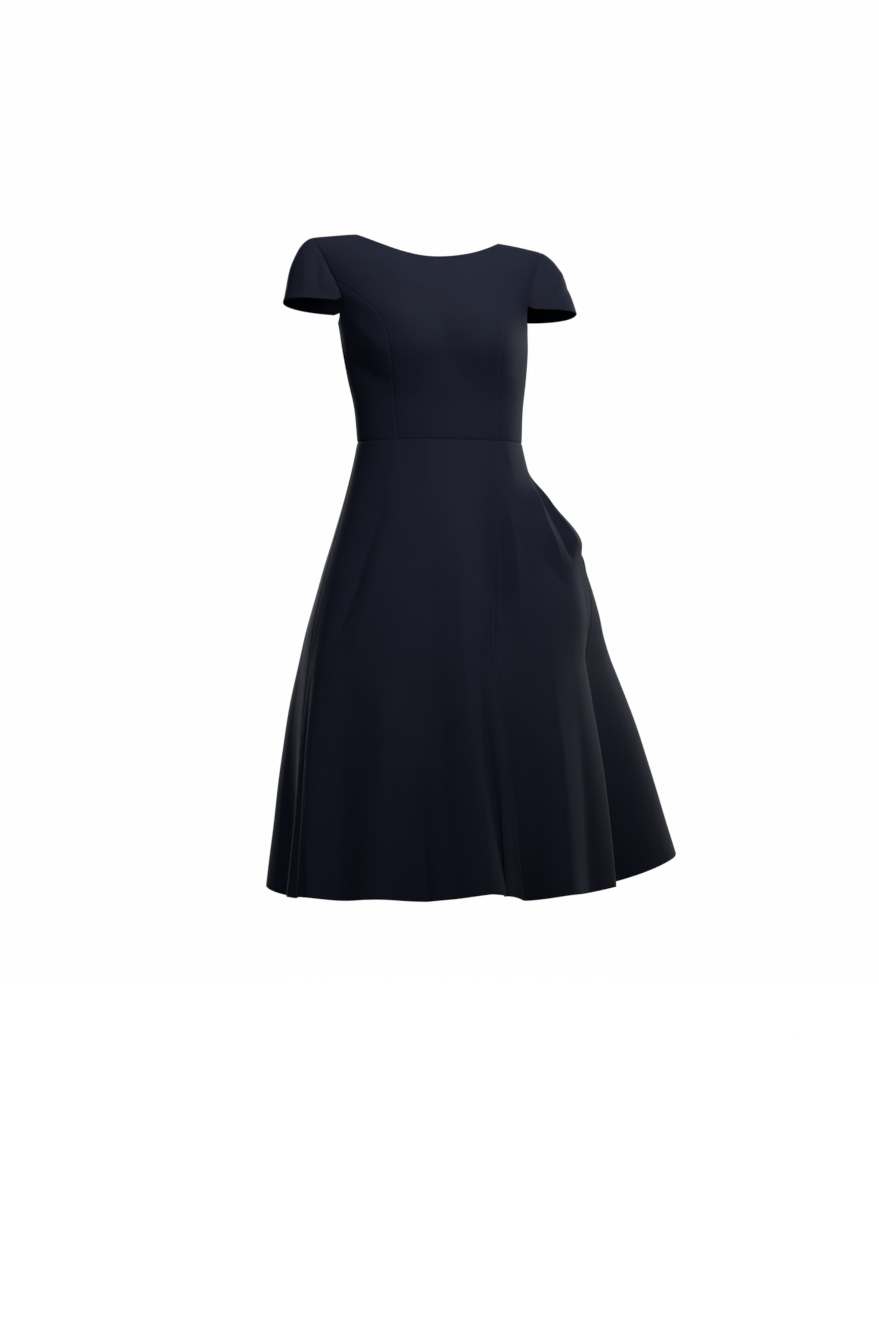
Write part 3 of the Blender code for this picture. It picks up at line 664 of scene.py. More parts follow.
@dataclass
class Bodice:
    """Bodice: centre front, two side fronts and two backs, sewn along princess and side seams."""

    form: BodiceForm = field(default_factory=BodiceForm)
    # the neck's edge is turned back this far, and less beside the zip, where the turning fades in
    neck_facing: float = 0.016
    facing_from: float = 0.012
    facing_fade: float = 0.01
    facing_least: float = 0.0004
    notch_half_width: float = 0.0028
    notch_from: float = 1.74
    # columns: those over the zip's tape, and how they crowd before the neck's corner and at the edge
    tape_column: float = 0.05
    before_neck: float = 0.02
    neck_crowd: tuple[float, ...] = (0.012, 0.006, 0.002, 0.0)
    edge_crowd: tuple[float, ...] = (0.003, 0.007, 0.012, 0.018)
    columns_past_neck: int = 34
    front_columns: int = 40
    side_columns: int = 30
    back_columns: int = 34
    tape_columns: int = 7
    centre_front_cut: Cut = Cut(0.36, 0.38, 0.075)
    side_front_cut: Cut = Cut(0.115, 0.29, 0.0205)
    back_cut: Cut = Cut(0.21, 0.37, 0.053)
    front_creases: tuple[Crease, ...] = (
        # from the armhole to the bust, on each side
        Crease(((-72, -0.116), (-58, -0.142), (-46, -0.168), (-35, -0.192)),
               (0.0, 2.2, 1.8, 0.0), 10, 12, 6),
        Crease(((-62, -0.090), (-48, -0.108), (-36, -0.134)), (0.0, 1.6, 0.0), 9, 12),
        Crease(((58, -0.090), (48, -0.108), (36, -0.128)), (0.0, 1.1, 0.0), 10, 8),
        # below the bust, where the cloth leaves it for the waist
        Crease(((-86, -0.180), (-66, -0.200), (-49, -0.218), (-34, -0.228)),
               (-1.5, -7.0, -4.5, 0.0), 16, 14, 8),
        Crease(((72, -0.176), (54, -0.188), (40, -0.198), (26, -0.206)), (0.0, -2.8, -2.0, 0.0), 12, 12, 7),
        # between the busts
        Crease(((0, -0.118), (-1, -0.150), (1, -0.190)), (0.0, 2.0, 0.0), 24, 24, 12),
        # pulls at the waist
        Crease(((-70, -0.262), (-48, -0.272), (-22, -0.268)), (0.0, 0.9, 0.0), 7, 7),
        Crease(((72, -0.250), (50, -0.266), (20, -0.270)), (0.0, 0.9, 0.0), 7, 7),
        Crease(((40, -0.284), (12, -0.290), (-20, -0.285)), (0.0, 0.7, 0.0), 5, 5),
        # beside the neckline
        Crease(((-26, -0.030), (-22, -0.055), (-14, -0.078)), (0.0, 0.9, 0.0), 12, 12),
        Crease(((24, -0.034), (22, -0.060), (18, -0.082)), (0.0, 0.8, 0.0), 12, 12),
    )
    back_creases: tuple[Crease, ...] = (
        Crease(((62, -0.110), (40, -0.122), (18, -0.124)), (0.0, 1.3, 0.0), 9, 9),
        Crease(((-60, -0.104), (-42, -0.118), (-16, -0.128)), (0.0, 1.2, 0.0), 9, 9),
        Crease(((70, -0.236), (44, -0.252), (10, -0.250)), (0.0, 1.4, 0.0), 8, 8),
        Crease(((-72, -0.228), (-40, -0.246), (-12, -0.256)), (0.0, 1.3, 0.0), 8, 8),
        Crease(((66, -0.276), (34, -0.284), (8, -0.279)), (0.0, 1.1, 0.0), 6, 6),
        Crease(((-66, -0.270), (-36, -0.282), (-8, -0.280)), (0.0, 1.1, 0.0), 6, 6),
        Crease(((34, -0.060), (30, -0.100), (26, -0.150)), (0.0, 1.6, 0.0), 18, 18, 9),
        Crease(((-32, -0.058), (-29, -0.104), (-25, -0.158)), (0.0, 1.6, 0.0), 18, 18, 9),
    )

    def panel(self, face: Face, columns: np.ndarray, rows: np.ndarray, turn_of: Callable) -> Panel:
        """A panel of the bodice before it is creased.

        Args:
            face: front or back.
            columns: shares of the way across it.
            rows: its rows.
            turn_of: gives the angles for columns, rows of the form and rows of the bodice.

        Returns:
            The panel.
        """
        column, v = np.meshgrid(columns, rows)
        row = self.form.column_row(face, column, v)
        turn = turn_of(column, row, v)
        return Panel(self.form.point(face, turn, row), self.form.normals(face, turn, row))

    def columns(self, *inner: np.ndarray | tuple[float, ...]) -> np.ndarray:
        """Columns of a panel with a neck and a shoulder, crowded at the neck's corner and the edge.

        Args:
            inner: columns between the centre line and the neck's corner.

        Returns:
            Shares of the way across, in order.
        """
        neck = self.form.neck_column
        past_neck = np.linspace(neck, 1, self.columns_past_neck)
        return np.unique(np.concatenate((*inner, neck - np.array(self.neck_crowd), past_neck,
                                         1 - np.array(self.edge_crowd))))

    def centre_front(self) -> Panel:
        """The centre front, from one princess seam to the other."""
        neck = self.form.neck_column - self.before_neck
        half = self.columns(np.linspace(0, neck, self.front_columns))
        columns = np.unique(np.concatenate((-half, half)))

        def turn_of(column: np.ndarray, row: np.ndarray, v: np.ndarray) -> np.ndarray:
            """Angles of the columns, whose last is the seam or the armhole.

            Args:
                column: shares of the way across the panel.
                row: rows of the form.
                v: rows of the bodice.

            Returns:
                Angles from the centre line.
            """
            edge = self.form.princess_turn(row)
            gap = self.form.turn_for(Face.FRONT, edge, row, STITCHED / 2)
            return column * np.where(v <= self.form.princess_top, edge - gap, edge)

        return self.panel(Face.FRONT, columns, np.concatenate((LOWER_ROWS, UPPER_ROWS)), turn_of)

    def side_front(self, side: Side) -> Panel:
        """A side front, from the princess seam to the side seam and the armhole.

        Args:
            side: which one.

        Returns:
            The panel.
        """
        rows = np.concatenate((LOWER_ROWS, UPPER_ROWS))
        rows = np.maximum(rows[rows <= self.form.princess_top], STITCHED / 2 / (UNDERARM_Z - WAIST_Z))
        column, v = np.meshgrid(near_edges(self.side_columns), rows)
        inner = self.form.princess_turn(v)
        inner = inner + self.form.turn_for(Face.FRONT, inner, v, STITCHED / 2)
        outer = self.form.armhole_turn(Face.FRONT, v)
        outer = outer - np.where(v <= 1, self.form.turn_for(Face.FRONT, outer, v, STITCHED / 2), 0.0)
        turn = side.value * (inner + column * (outer - inner))
        return Panel(self.form.point(Face.FRONT, turn, v), self.form.normals(Face.FRONT, turn, v))

    def back_panel(self, side: Side) -> Panel:
        """One back, from the centre back to the side seam and the armhole.

        Args:
            side: which one.

        Returns:
            The panel.
        """
        neck = self.form.neck_column - self.before_neck
        columns = self.columns(
            np.linspace(0, self.tape_column, self.tape_columns), self.edge_crowd[:2],
            np.linspace(self.tape_column, neck, self.back_columns))

        def turn_of(column: np.ndarray, row: np.ndarray, v: np.ndarray) -> np.ndarray:
            """Angles of the columns, whose first runs beside the zip.

            Args:
                column: shares of the way across the panel.
                row: rows of the form.
                v: rows of the bodice.

            Returns:
                Angles from the centre line.
            """
            outer = self.form.armhole_turn(Face.BACK, row)
            outer = outer - np.where(v <= 1, self.form.turn_for(Face.BACK, outer, row, STITCHED / 2), 0.0)
            notch = np.maximum(v - self.notch_from, 0) / (2 - self.notch_from)
            gap = STITCHED / 2 + (self.notch_half_width - STITCHED / 2) * notch
            inner = self.form.turn_for(Face.BACK, np.zeros_like(row), row, gap)
            return side.value * (inner + column * (outer - inner))

        return self.panel(Face.BACK, columns, np.concatenate((LOWER_ROWS, UPPER_ROWS)), turn_of)

    def build(self, crepe: bpy.types.Material) -> dict[Side, Panel]:
        """Make the five panels.

        Args:
            crepe: material of the cloth.

        Returns:
            The two backs before their edges are turned, for the zip to follow.
        """
        front = self.centre_front()
        front.crease(self.front_creases, self.form.place(Face.FRONT))
        front.seam(start=True, first=True, last=True)
        front.turn_under(self.neck_facing)
        hand_in(front.make("centre_front", CREPE_THICK, crepe), "bodice_centre_front",
                self.centre_front_cut)
        backs = {}
        for side in Side:
            side_front = self.side_front(side)
            side_front.crease(self.front_creases, self.form.place(Face.FRONT))
            side_front.seam(start=True, first=True, last=True)
            hand_in(side_front.make(f"side_front_{side.word}", CREPE_THICK, crepe),
                    f"bodice_side_front_{side.word}", self.side_front_cut)
            back = self.back_panel(side)
            back.crease(self.back_creases, self.form.place(Face.BACK))
            backs[side] = back.copy()
            back.seam(start=True, first=True, last=True)
            reach = back.travelled(1)[-1]
            facing = self.neck_facing * ease((reach - self.facing_from) / self.facing_fade)
            back.turn_under(facing + self.facing_least)
            hand_in(back.make(f"back_{side.word}", CREPE_THICK, crepe), f"bodice_back_{side.word}",
                    self.back_cut)
        return backs


# ---------------------------------------------------------------------------- sleeves


@dataclass
class Sleeves:
    """Cap sleeves, lofted from the armholes out and down to their hems."""

    form: BodiceForm = field(default_factory=BodiceForm)
    out: tuple[float, float, float] = (0.222, 0.006, -0.103)
    end: tuple[float, float, float] = (0.007, 0.001, -0.003)
    round_power: float = 0.82
    full_power: float = 0.6
    leaving: tuple[float, float, float] = (0.70, 0.25, -0.35)
    arriving: tuple[float, float] = (0.30, -0.95)
    hem_turn: float = 0.014
    rows: int = 46
    columns: int = 120
    cut: Cut = Cut(0.25, 0.125, 0.0178)
    front_rows: Curve = Curve((-1, -0.875, -0.75, -0.5, -0.375, -0.25, -0.125, 0),
                              (1.16, 1.24, 1.32, 1.46, 1.60, 1.74, 1.87, 2.0))
    back_rows: Curve = Curve((0, 1 / 9, 2 / 9, 3 / 9, 4 / 9, 6 / 9, 7 / 9, 8 / 9, 1),
                             (2.0, 1.87, 1.74, 1.60, 1.46, 1.32, 1.24, 1.16, 1.09))
    creases: dict[Side, tuple[Crease, ...]] = field(default_factory=lambda: {
        # knots are shares: -1 to 1 from the front end to the back end, and 0 to 1 down to the hem
        Side.RIGHT: (
            Crease(((-0.34, 0.02), (-0.52, 0.30), (-0.72, 0.62)), (-0.8, -4.2, -1.0), 7, 9, 3),
            Crease(((-0.28, 0.25), (-0.44, 0.55), (-0.58, 0.92)), (0.0, 2.6, 1.2), 9, 9, 3),
            Crease(((-0.10, 0.35), (-0.02, 0.60), (0.08, 0.95)), (0.0, 1.5, 0.6), 9, 9),
            Crease(((0.36, 0.10), (0.46, 0.45), (0.56, 0.85)), (0.0, -1.8, 0.0), 8, 10),
        ),
        Side.LEFT: (
            Crease(((-0.62, 0.60), (-0.28, 0.67), (0.08, 0.58)), (0.0, -2.6, 0.0), 5, 6, 2),
            Crease(((-0.66, 0.40), (-0.30, 0.45), (0.04, 0.38)), (0.0, 2.0, 0.0), 6, 6, 2),
            Crease(((-0.42, 0.04), (-0.62, 0.35), (-0.82, 0.70)), (-0.3, -1.6, 0.0), 7, 6),
            Crease(((0.38, 0.10), (0.48, 0.45), (0.58, 0.85)), (0.0, -1.8, 0.0), 9, 8),
        ),
    })

    def grid(self, side: Side, share: np.ndarray,
             t: np.ndarray) -> tuple[np.ndarray, np.ndarray, np.ndarray]:
        """Points of the sleeve's form.

        The sleeve leaves the armhole in shares of three ways: away from the body, along the shoulder and
        up. It arrives at its hem in shares of two: away and up. The rows of the bodice that it is sewn to
        follow its shares from end to end.

        Args:
            side: which sleeve.
            share: -1 at the sleeve's front end, 0 at the shoulder seam, 1 at its back end.
            t: 0 at the armhole, 1 at the hem.

        Returns:
            The points, the bodice's normals at the armhole and the middle of the sleeve's opening.
        """
        turned = share <= 0
        rows = np.where(turned, self.front_rows(share), self.back_rows(share))
        faces = zip(self.armhole(Face.FRONT, rows, side), self.armhole(Face.BACK, rows, side))
        start, start_normal, leaves = (np.where(turned[..., None], front, back) for front, back in faces)
        offset = np.array((side.value * self.end[0], 0.0, self.end[2]))
        forward = np.array((0.0, self.end[1], 0.0))
        ends = (self.front_rows.values[0], self.back_rows.values[-1])
        first = self.armhole(Face.FRONT, np.array(ends[0]), side)[0] + offset - forward
        last = self.armhole(Face.BACK, np.array(ends[1]), side)[0] + offset + forward
        middle = (first + last) / 2
        out = self.form.pose(np.array((side.value * self.out[0], self.out[1], self.out[2]))) - middle
        angle = share * QUARTER
        ahead = np.copysign(np.abs(np.sin(angle)) ** self.round_power, angle)[..., None]
        aside = (np.clip(np.cos(angle), 0, None) ** self.round_power)[..., None]
        hem = middle + (last - first) / 2 * ahead + out * aside
        chord = hem - start
        length = np.linalg.norm(chord, axis=-1, keepdims=True)
        fullness = (np.clip(np.cos(angle), 0, None) ** self.full_power)[..., None]
        radial = np.stack((side.value * np.cos(angle), np.sin(angle), np.zeros_like(angle)), axis=-1)
        straight = chord / length * (1 - fullness)
        away, along, up = self.leaving
        leaving = unit(straight + (radial * away + leaves * along + np.array((0, 0, up))) * fullness)
        away, up = self.arriving
        arriving = unit(straight + (radial * away + np.array((0, 0, up))) * fullness)
        t = t[..., None]
        points = ((1 + 2 * t) * (1 - t) ** 2 * start + t * t * (3 - 2 * t) * hem
                  + length * (t * (1 - t) ** 2 * leaving + t * t * (t - 1) * arriving))
        return points, start_normal, middle

    def armhole(self, face: Face, v: np.ndarray, side: Side) -> tuple[np.ndarray, np.ndarray, np.ndarray]:
        """Sleeve side of the armhole's seam.

        Args:
            face: front or back.
            v: rows.
            side: which armhole.

        Returns:
            The points, the bodice's normals and the way outwards along the shoulder.
        """
        turn = self.form.armhole_turn(face, v)
        turn = side.value * (turn + self.form.turn_for(face, turn, v, STITCHED))
        points = self.form.point(face, turn, v)
        ahead = self.form.point(face, turn + side.value * GAP_STEP, v)
        return points, self.form.normals(face, turn, v), unit(ahead - points)

    def build(self, crepe: bpy.types.Material) -> None:
        """Make both sleeves.

        Args:
            crepe: material of the cloth.
        """
        for side in Side:
            share, t = np.meshgrid(np.linspace(-1, 1, self.columns + 1), near_edges(self.rows, last=False))
            points, start_normals, middle = self.grid(side, share, t)
            normals = unit(np.cross(np.gradient(points, axis=1), np.gradient(points, axis=0)))
            flip = np.sum(normals * (points - middle), axis=-1, keepdims=True)[-1:] < 0
            normals = np.where(flip, -normals, normals)
            normals[0] = start_normals[0]
            sleeve = Panel(points, normals)
            sleeve.crease(self.creases[side], lambda a, b: self.grid(side, a, b)[0])
            sleeve.seam(start=True)
            sleeve.turn_under(self.hem_turn)
            hand_in(sleeve.make(f"cap_sleeve_{side.word}", CREPE_THICK, crepe), f"sleeve_{side.word}",
                    self.cut)


# ---------------------------------------------------------------------------- form of the skirt


class Flute(NamedTuple):
    """Fold of the skirt: degrees round from the centre front at its top and at the hem, degrees it
    spreads to each side, share of the length where it starts, power of its growth, and depth."""

    top: float
    hem: float
    spread_right: float
    spread_left: float
    start: float
    rise: float
    depth: float


# Heights at which the skirt is measured, from the hem to the waist, and at which its pocket is
SKIRT_LEVELS = (-0.980, -0.750, -0.600, -0.500, -0.440, -0.380, -0.340, -0.305)
POCKET_LEVELS = (-0.700, -0.640, -0.600, -0.560, -0.500, -0.474, -0.452, -0.400, -0.352, -0.320)


@dataclass(frozen=True)
class SkirtForm:
    """Form of the skirt: an angle round it from the centre front, and a share from waist to hem."""

    half_width: Curve = Curve(SKIRT_LEVELS, (0.246, 0.229, 0.204, 0.178, 0.159, 0.141, 0.131, 0.124))
    front: Curve = Curve(SKIRT_LEVELS, (0.246, 0.198, 0.161, 0.134, 0.118, 0.103, 0.094, 0.088))
    back: Curve = Curve(SKIRT_LEVELS, (0.250, 0.212, 0.182, 0.156, 0.135, 0.108, 0.086, 0.072))
    flutes: tuple[Flute, ...] = (
        Flute(4, 11, 20, 15, 0.08, 1.1, 0.032),
        Flute(30, 23, 13, 15, 0.08, 0.9, -0.026),
        Flute(44, 40, 14, 12, 0.25, 1.2, 0.010),
        Flute(60, 62, 20, 14, 0.25, 1.2, 0.020),
        Flute(86, 80, 18, 16, 0.33, 1.2, -0.034),
        Flute(100, 101, 30, 46, 0.25, 0.9, 0.128),
        Flute(140, 134, 20, 20, 0.30, 1.2, -0.030),
        Flute(158, 157, 18, 18, 0.20, 1.2, 0.040),
        Flute(178, 177, 14, 14, 0.30, 1.2, -0.026),
        Flute(-156, -160, 18, 18, 0.18, 1.2, 0.038),
        Flute(-134, -137, 14, 14, 0.30, 1.2, -0.030),
        Flute(-112, -113, 18, 18, 0.25, 1.2, 0.026),
        Flute(-90, -87, 14, 14, 0.40, 1.2, -0.020),
        Flute(-58, -67, 14, 18, 0.26, 1.1, 0.022),
        Flute(-40, -48, 12, 12, 0.32, 1.2, -0.010),
        Flute(-14, -18, 13, 13, 0.42, 1.2, -0.018),
    )
    pocket_front: Curve = Curve(
        POCKET_LEVELS, (0.0, 0.004, 0.013, 0.025, 0.035, 0.041, 0.048, 0.026, 0.001, 0.0))
    pocket_back: Curve = Curve(
        POCKET_LEVELS, (0.0, 0.004, 0.013, 0.025, 0.035, 0.041, 0.022, 0.004, 0.001, 0.0))
    pocket_front_reach: float = math.radians(55)
    pocket_back_reach: float = math.radians(40)
    pocket_forward: float = 0.30
    slant: float = 0.684
    drop: float = 0.665
    swing: float = 0.006
    hand_lift: float = 0.012
    hand_reach: float = math.radians(60)
    left_seam: float = math.radians(62)
    right_seam: float = math.radians(-66)
    level_share: float = 0.03

    def seam_turn(self, side: Side, v: np.ndarray) -> np.ndarray:
        """Angle of a side seam, which swings forward on its way down."""
        hem = self.left_seam if side is Side.LEFT else self.right_seam
        return side.value * QUARTER + (hem - side.value * QUARTER) * v

    def swell(self, turn: np.ndarray, v: np.ndarray) -> np.ndarray:
        """How far the flutes push the skirt out.

        Args:
            turn: angles from the centre front.
            v: shares of the way from waist to hem.

        Returns:
            Distances in metres.
        """
        total = np.zeros(np.broadcast(turn, v).shape)
        for flute in self.flutes:
            growth = np.clip((v - flute.start) / (1 - flute.start), 0, None) ** flute.rise
            centre = np.radians(flute.top + (flute.hem - flute.top) * v)
            away = (turn - centre + math.pi) % (2 * math.pi) - math.pi
            spread = np.radians(np.where(away > 0, flute.spread_left, flute.spread_right))
            total = total + flute.depth * growth * bump(away / spread)
        return total

    def plan(self, turn: np.ndarray, v: np.ndarray) -> np.ndarray:
        """Plan position of the skirt, without the pocket's fullness.

        Args:
            turn: angles from the centre front.
            v: shares of the way from waist to hem.

        Returns:
            The x and y of each place.
        """
        z = WAIST_Z - v * self.drop
        depth = np.where(np.cos(turn) > 0, self.front(z), self.back(z))
        x = self.half_width(z) * np.sin(turn)
        y = -depth * np.cos(turn)
        scale = 1 + self.swell(turn, v) / np.hypot(x, y)
        return np.stack((x * scale + self.swing * v, y * scale), axis=-1)

    def point(self, turn: np.ndarray, v: np.ndarray, behind_seam: bool = False) -> np.ndarray:
        """Points of the form.

        Args:
            turn: angles from the centre front.
            v: shares of the way from waist to hem.
            behind_seam: take the back edge of the left pocket's mouth.

        Returns:
            The points.
        """
        turn, v = np.broadcast_arrays(turn, v)
        ends = self.plan(turn, np.ones_like(v)) - self.plan(turn, np.zeros_like(v))
        lifted = self.hand_lift * bump((turn % (2 * math.pi) - QUARTER) / self.hand_reach)
        z = WAIST_Z - v * (np.sqrt(self.slant ** 2 - np.sum(ends * ends, axis=-1)) - lifted)
        plan = self.plan(turn, v)
        seam = self.seam_turn(Side.LEFT, np.clip(v, 0, 1))
        reach = self.pocket_back_reach if behind_seam else self.pocket_front_reach
        edge = self.pocket_back if behind_seam else self.pocket_front
        out = edge(z) * bump((turn - seam) / reach)
        return np.stack((plan[..., 0] + out, plan[..., 1] - out * self.pocket_forward, z), axis=-1)

    def normals(self, turn: np.ndarray, v: np.ndarray, behind_seam: bool = False) -> np.ndarray:
        """Outward normals, level at the waist.

        Args:
            turn: angles from the centre front.
            v: shares of the way from waist to hem.
            behind_seam: take the back edge of the left pocket's mouth.

        Returns:
            The normals.
        """
        low = np.maximum(v, SLOPE_STEP)
        inside = np.stack((self.swing * low, np.zeros_like(low), WAIST_Z - low * self.drop), axis=-1)
        found = outward(lambda a, b: self.point(a, b, behind_seam), turn, low, inside)
        found[..., 2] *= ease(v / self.level_share)
        return unit(found)

    def seam_gap(self, turn: np.ndarray, v: np.ndarray) -> np.ndarray:
        """Angle that takes half a seam's gap."""
        travel = np.linalg.norm(self.plan(turn + GAP_STEP, v) - self.plan(turn - GAP_STEP, v), axis=-1)
        return STITCHED * GAP_STEP / travel

    def place(self, degrees: np.ndarray, z: np.ndarray) -> np.ndarray:
        """Knots of a crease on the skirt: degrees round from the centre front, and a height in metres."""
        return self.point(np.radians(degrees), (WAIST_Z - z) / self.drop)


# ---------------------------------------------------------------------------- skirt and pockets


@dataclass
class Skirt:
    """Skirt in three panels, with the bags of the two pockets in its side seams."""

    form: SkirtForm = field(default_factory=SkirtForm)
    rows: int = 170
    front_columns: int = 226
    back_columns: int = 170
    hem_turn: float = 0.026
    tape_column: float = 0.05
    tape_to: float = 0.258
    pocket_from: float = 0.072
    pocket_to: float = 0.380
    pocket_share: float = 25 / 32
    joined_share: float = 31 / 32
    pouch_round: float = 0.8
    pouch_depth: dict[Side, float] = field(default_factory=lambda: {Side.LEFT: 0.028, Side.RIGHT: 0.001})
    front_cut: Cut = Cut(0.66, 0.74, 0.385)
    back_cuts: dict[Side, Cut] = field(default_factory=lambda: {
        Side.LEFT: Cut(0.82, 0.74, 0.325), Side.RIGHT: Cut(0.62, 0.73, 0.272)})
    bag_cuts: dict[Side, Cut] = field(default_factory=lambda: {
        Side.LEFT: Cut(0.12, 0.24, 0.021), Side.RIGHT: Cut(0.11, 0.23, 0.018)})
    creases: tuple[Crease, ...] = (
        # the ridge down the middle of the front, sharper towards the hem
        Crease(((-0.5, -0.370), (1, -0.460), (1, -0.600), (2.5, -0.770), (5, -0.978)),
               (0.0, 5.0, 7.0, 9.0, 10.0), 34, 8, 2.5),
        # the trough beside it: a long flank and a sharp far side at the hip, and lower down a sharp
        # drop behind the ridge and a slow rise
        Crease(((31, -0.340), (29, -0.430), (25, -0.520), (20, -0.600), (17, -0.690)),
               (0.0, -10.0, -17.0, -14.0, 0.0), 20, 9, 4),
        Crease(((15, -0.560), (9, -0.660), (7.5, -0.760), (8.5, -0.860), (11, -0.978)),
               (0.0, -14.0, -24.0, -25.0, -20.0), 10, 34, 5),
        Crease(((38, -0.345), (36, -0.440), (32, -0.540), (27, -0.660)), (0.0, 5.0, 6.0, 0.0), 8, 18, 3),
        Crease(((20, -0.800), (22, -0.880), (25, -0.978)), (0.0, -4.0, -6.0), 9, 12, 3),
        # drags from the waist to the mouth of the left pocket
        Crease(((73, -0.345), (60, -0.395), (54, -0.442), (57, -0.490)), (0.5, 6.0, 7.0, 0.0), 9, 8, 2),
        Crease(((69, -0.355), (64, -0.405), (62, -0.450), (66, -0.488)), (0.0, -6.5, -7.5, 0.0), 6, 6, 2),
        Crease(((77, -0.345), (72, -0.385), (68.5, -0.421), (74, -0.462)), (0.0, 5.0, 5.5, 0.0), 6, 5, 2),
        Crease(((47, -0.390), (46, -0.440), (50, -0.490), (59, -0.530)), (0.0, -4.0, -4.5, 0.0), 9, 9, 4),
        # the ridge along the left side seam
        Crease(((78, -0.500), (73, -0.580), (66, -0.700), (63, -0.820), (60, -0.978)),
               (0.0, 3.0, 5.0, 6.0, 6.0), 24, 8, 3),
        # drag from the right hip down to the side seam
        Crease(((-40, -0.385), (-46, -0.450), (-53, -0.555), (-62, -0.625)),
               (0.0, -4.0, -7.0, -1.0), 11, 8, 3),
        Crease(((-34, -0.400), (-40, -0.480), (-46, -0.600), (-51, -0.720)),
               (0.0, 2.2, 3.0, 0.0), 12, 16, 5),
        # the ridge in front of the right side seam and the deep fold behind it
        Crease(((-61, -0.640), (-61, -0.760), (-60, -0.870), (-58.5, -0.978)),
               (0.0, 3.5, 6.0, 7.0), 7, 22, 2.5),
        Crease(((-70, -0.640), (-69, -0.760), (-68, -0.870), (-67, -0.978)),
               (0.0, -8.0, -14.0, -14.0), 11, 8, 4),
        # folds in the lower right and left of the front
        Crease(((-16, -0.780), (-17, -0.870), (-16.5, -0.978)), (0.0, -6.0, -9.0), 11, 8, 3),
        Crease(((-31, -0.580), (-30, -0.720), (-32, -0.850), (-33, -0.978)),
               (0.0, 3.0, 6.0, 7.0), 26, 18, 6),
        Crease(((-8, -0.620), (-8, -0.780), (-6, -0.978)), (0.0, -2.0, -3.0), 16, 12, 8),
        Crease(((44, -0.540), (38, -0.720), (35, -0.978)), (0.0, 2.2, 3.0), 20, 16, 7),
        Crease(((52, -0.700), (50, -0.820), (48, -0.978)), (0.0, -2.0, -3.5), 12, 14, 5),
        # soft folds from the waist seam
        Crease(((-38, -0.308), (-39, -0.350), (-41, -0.420)), (0.9, 1.1, 0.0), 9, 9),
        Crease(((-14, -0.308), (-15, -0.360), (-17, -0.450)), (0.7, 1.0, 0.0), 10, 10),
        Crease(((46, -0.308), (46, -0.350), (45, -0.400)), (0.8, 1.0, 0.0), 8, 8),
        # folds of the back
        Crease(((101, -0.560), (101, -0.700), (101, -0.850), (101, -0.975)),
               (0.0, 4.0, 6.0, 7.0), 26, 24, 6),
        Crease(((134, -0.480), (132, -0.650), (131, -0.820), (131, -0.975)),
               (0.0, -4.0, -6.0, -6.0), 14, 18, 4),
        Crease(((158, -0.400), (157, -0.600), (156, -0.800), (156, -0.975)),
               (0.0, 3.0, 5.0, 6.0), 22, 16, 5),
        Crease(((170, -0.340), (172, -0.500), (174, -0.700), (175, -0.975)),
               (0.0, -2.0, -4.0, -5.0), 12, 12, 4),
        Crease(((-172, -0.360), (-172, -0.560), (-173, -0.780), (-175, -0.975)),
               (0.0, 1.5, 2.0, 3.0), 14, 14, 5),
        Crease(((-157, -0.380), (-158, -0.580), (-160, -0.780), (-161, -0.975)),
               (0.0, 3.0, 5.0, 6.0), 16, 22, 5),
        Crease(((-134, -0.460), (-136, -0.640), (-138, -0.820), (-139, -0.975)),
               (0.0, -4.0, -6.0, -6.0), 16, 14, 4),
        Crease(((-112, -0.480), (-113, -0.640), (-114, -0.820), (-114, -0.975)),
               (0.0, 3.0, 4.0, 5.0), 20, 16, 5),
        Crease(((112, -0.330), (118, -0.400), (128, -0.480)), (0.0, 2.2, 0.0), 12, 12),
        Crease(((-110, -0.330), (-116, -0.400), (-126, -0.470)), (0.0, 2.0, 0.0), 12, 12),
        Crease(((146, -0.312), (144, -0.360), (140, -0.430)), (0.6, 1.6, 0.0), 10, 10),
        Crease(((-146, -0.312), (-143, -0.360), (-138, -0.430)), (0.6, 1.6, 0.0), 10, 10),
    )

    def row_shares(self) -> np.ndarray:
        """Shares of the way down of the rows that every panel of the skirt has."""
        ends = (self.pocket_from, self.pocket_to, self.tape_to)
        return np.unique(np.concatenate((near_edges(self.rows), ends)))

    def panel(self, columns: np.ndarray, limits: Callable, behind_seam: bool = False) -> Panel:
        """A panel of the skirt before it is creased.

        Args:
            columns: shares of the way across it.
            limits: gives the angles of its two edges for the rows.
            behind_seam: it ends on the back edge of the left pocket's mouth.

        Returns:
            The panel.
        """
        column, v = np.meshgrid(columns, np.maximum(self.row_shares(), STITCHED / 2 / self.form.drop))
        start, end = limits(v)
        turn = start + (end - start) * column
        return Panel(self.form.point(turn, v, behind_seam), self.form.normals(turn, v, behind_seam))

    def front_panel(self) -> Panel:
        """The front, in one piece from side seam to side seam."""

        def limits(v: np.ndarray) -> tuple[np.ndarray, np.ndarray]:
            """Angles of the side seams for the rows v, right and left."""
            right = self.form.seam_turn(Side.RIGHT, v)
            left = self.form.seam_turn(Side.LEFT, v)
            return right + self.form.seam_gap(right, v), left - self.form.seam_gap(left, v)

        return self.panel(near_edges(self.front_columns), limits)

    def back_panel(self, side: Side) -> Panel:
        """One back, from the centre back to the side seam.

        Args:
            side: which one.

        Returns:
            The panel.
        """

        def limits(v: np.ndarray) -> tuple[np.ndarray, np.ndarray]:
            """Angles of the centre back and of the side seam for the rows v."""
            seam = self.form.seam_turn(side, v)
            centre = np.full_like(v, side.value * math.pi)
            return (centre - side.value * self.form.seam_gap(centre, v),
                    seam + side.value * self.form.seam_gap(seam, v))

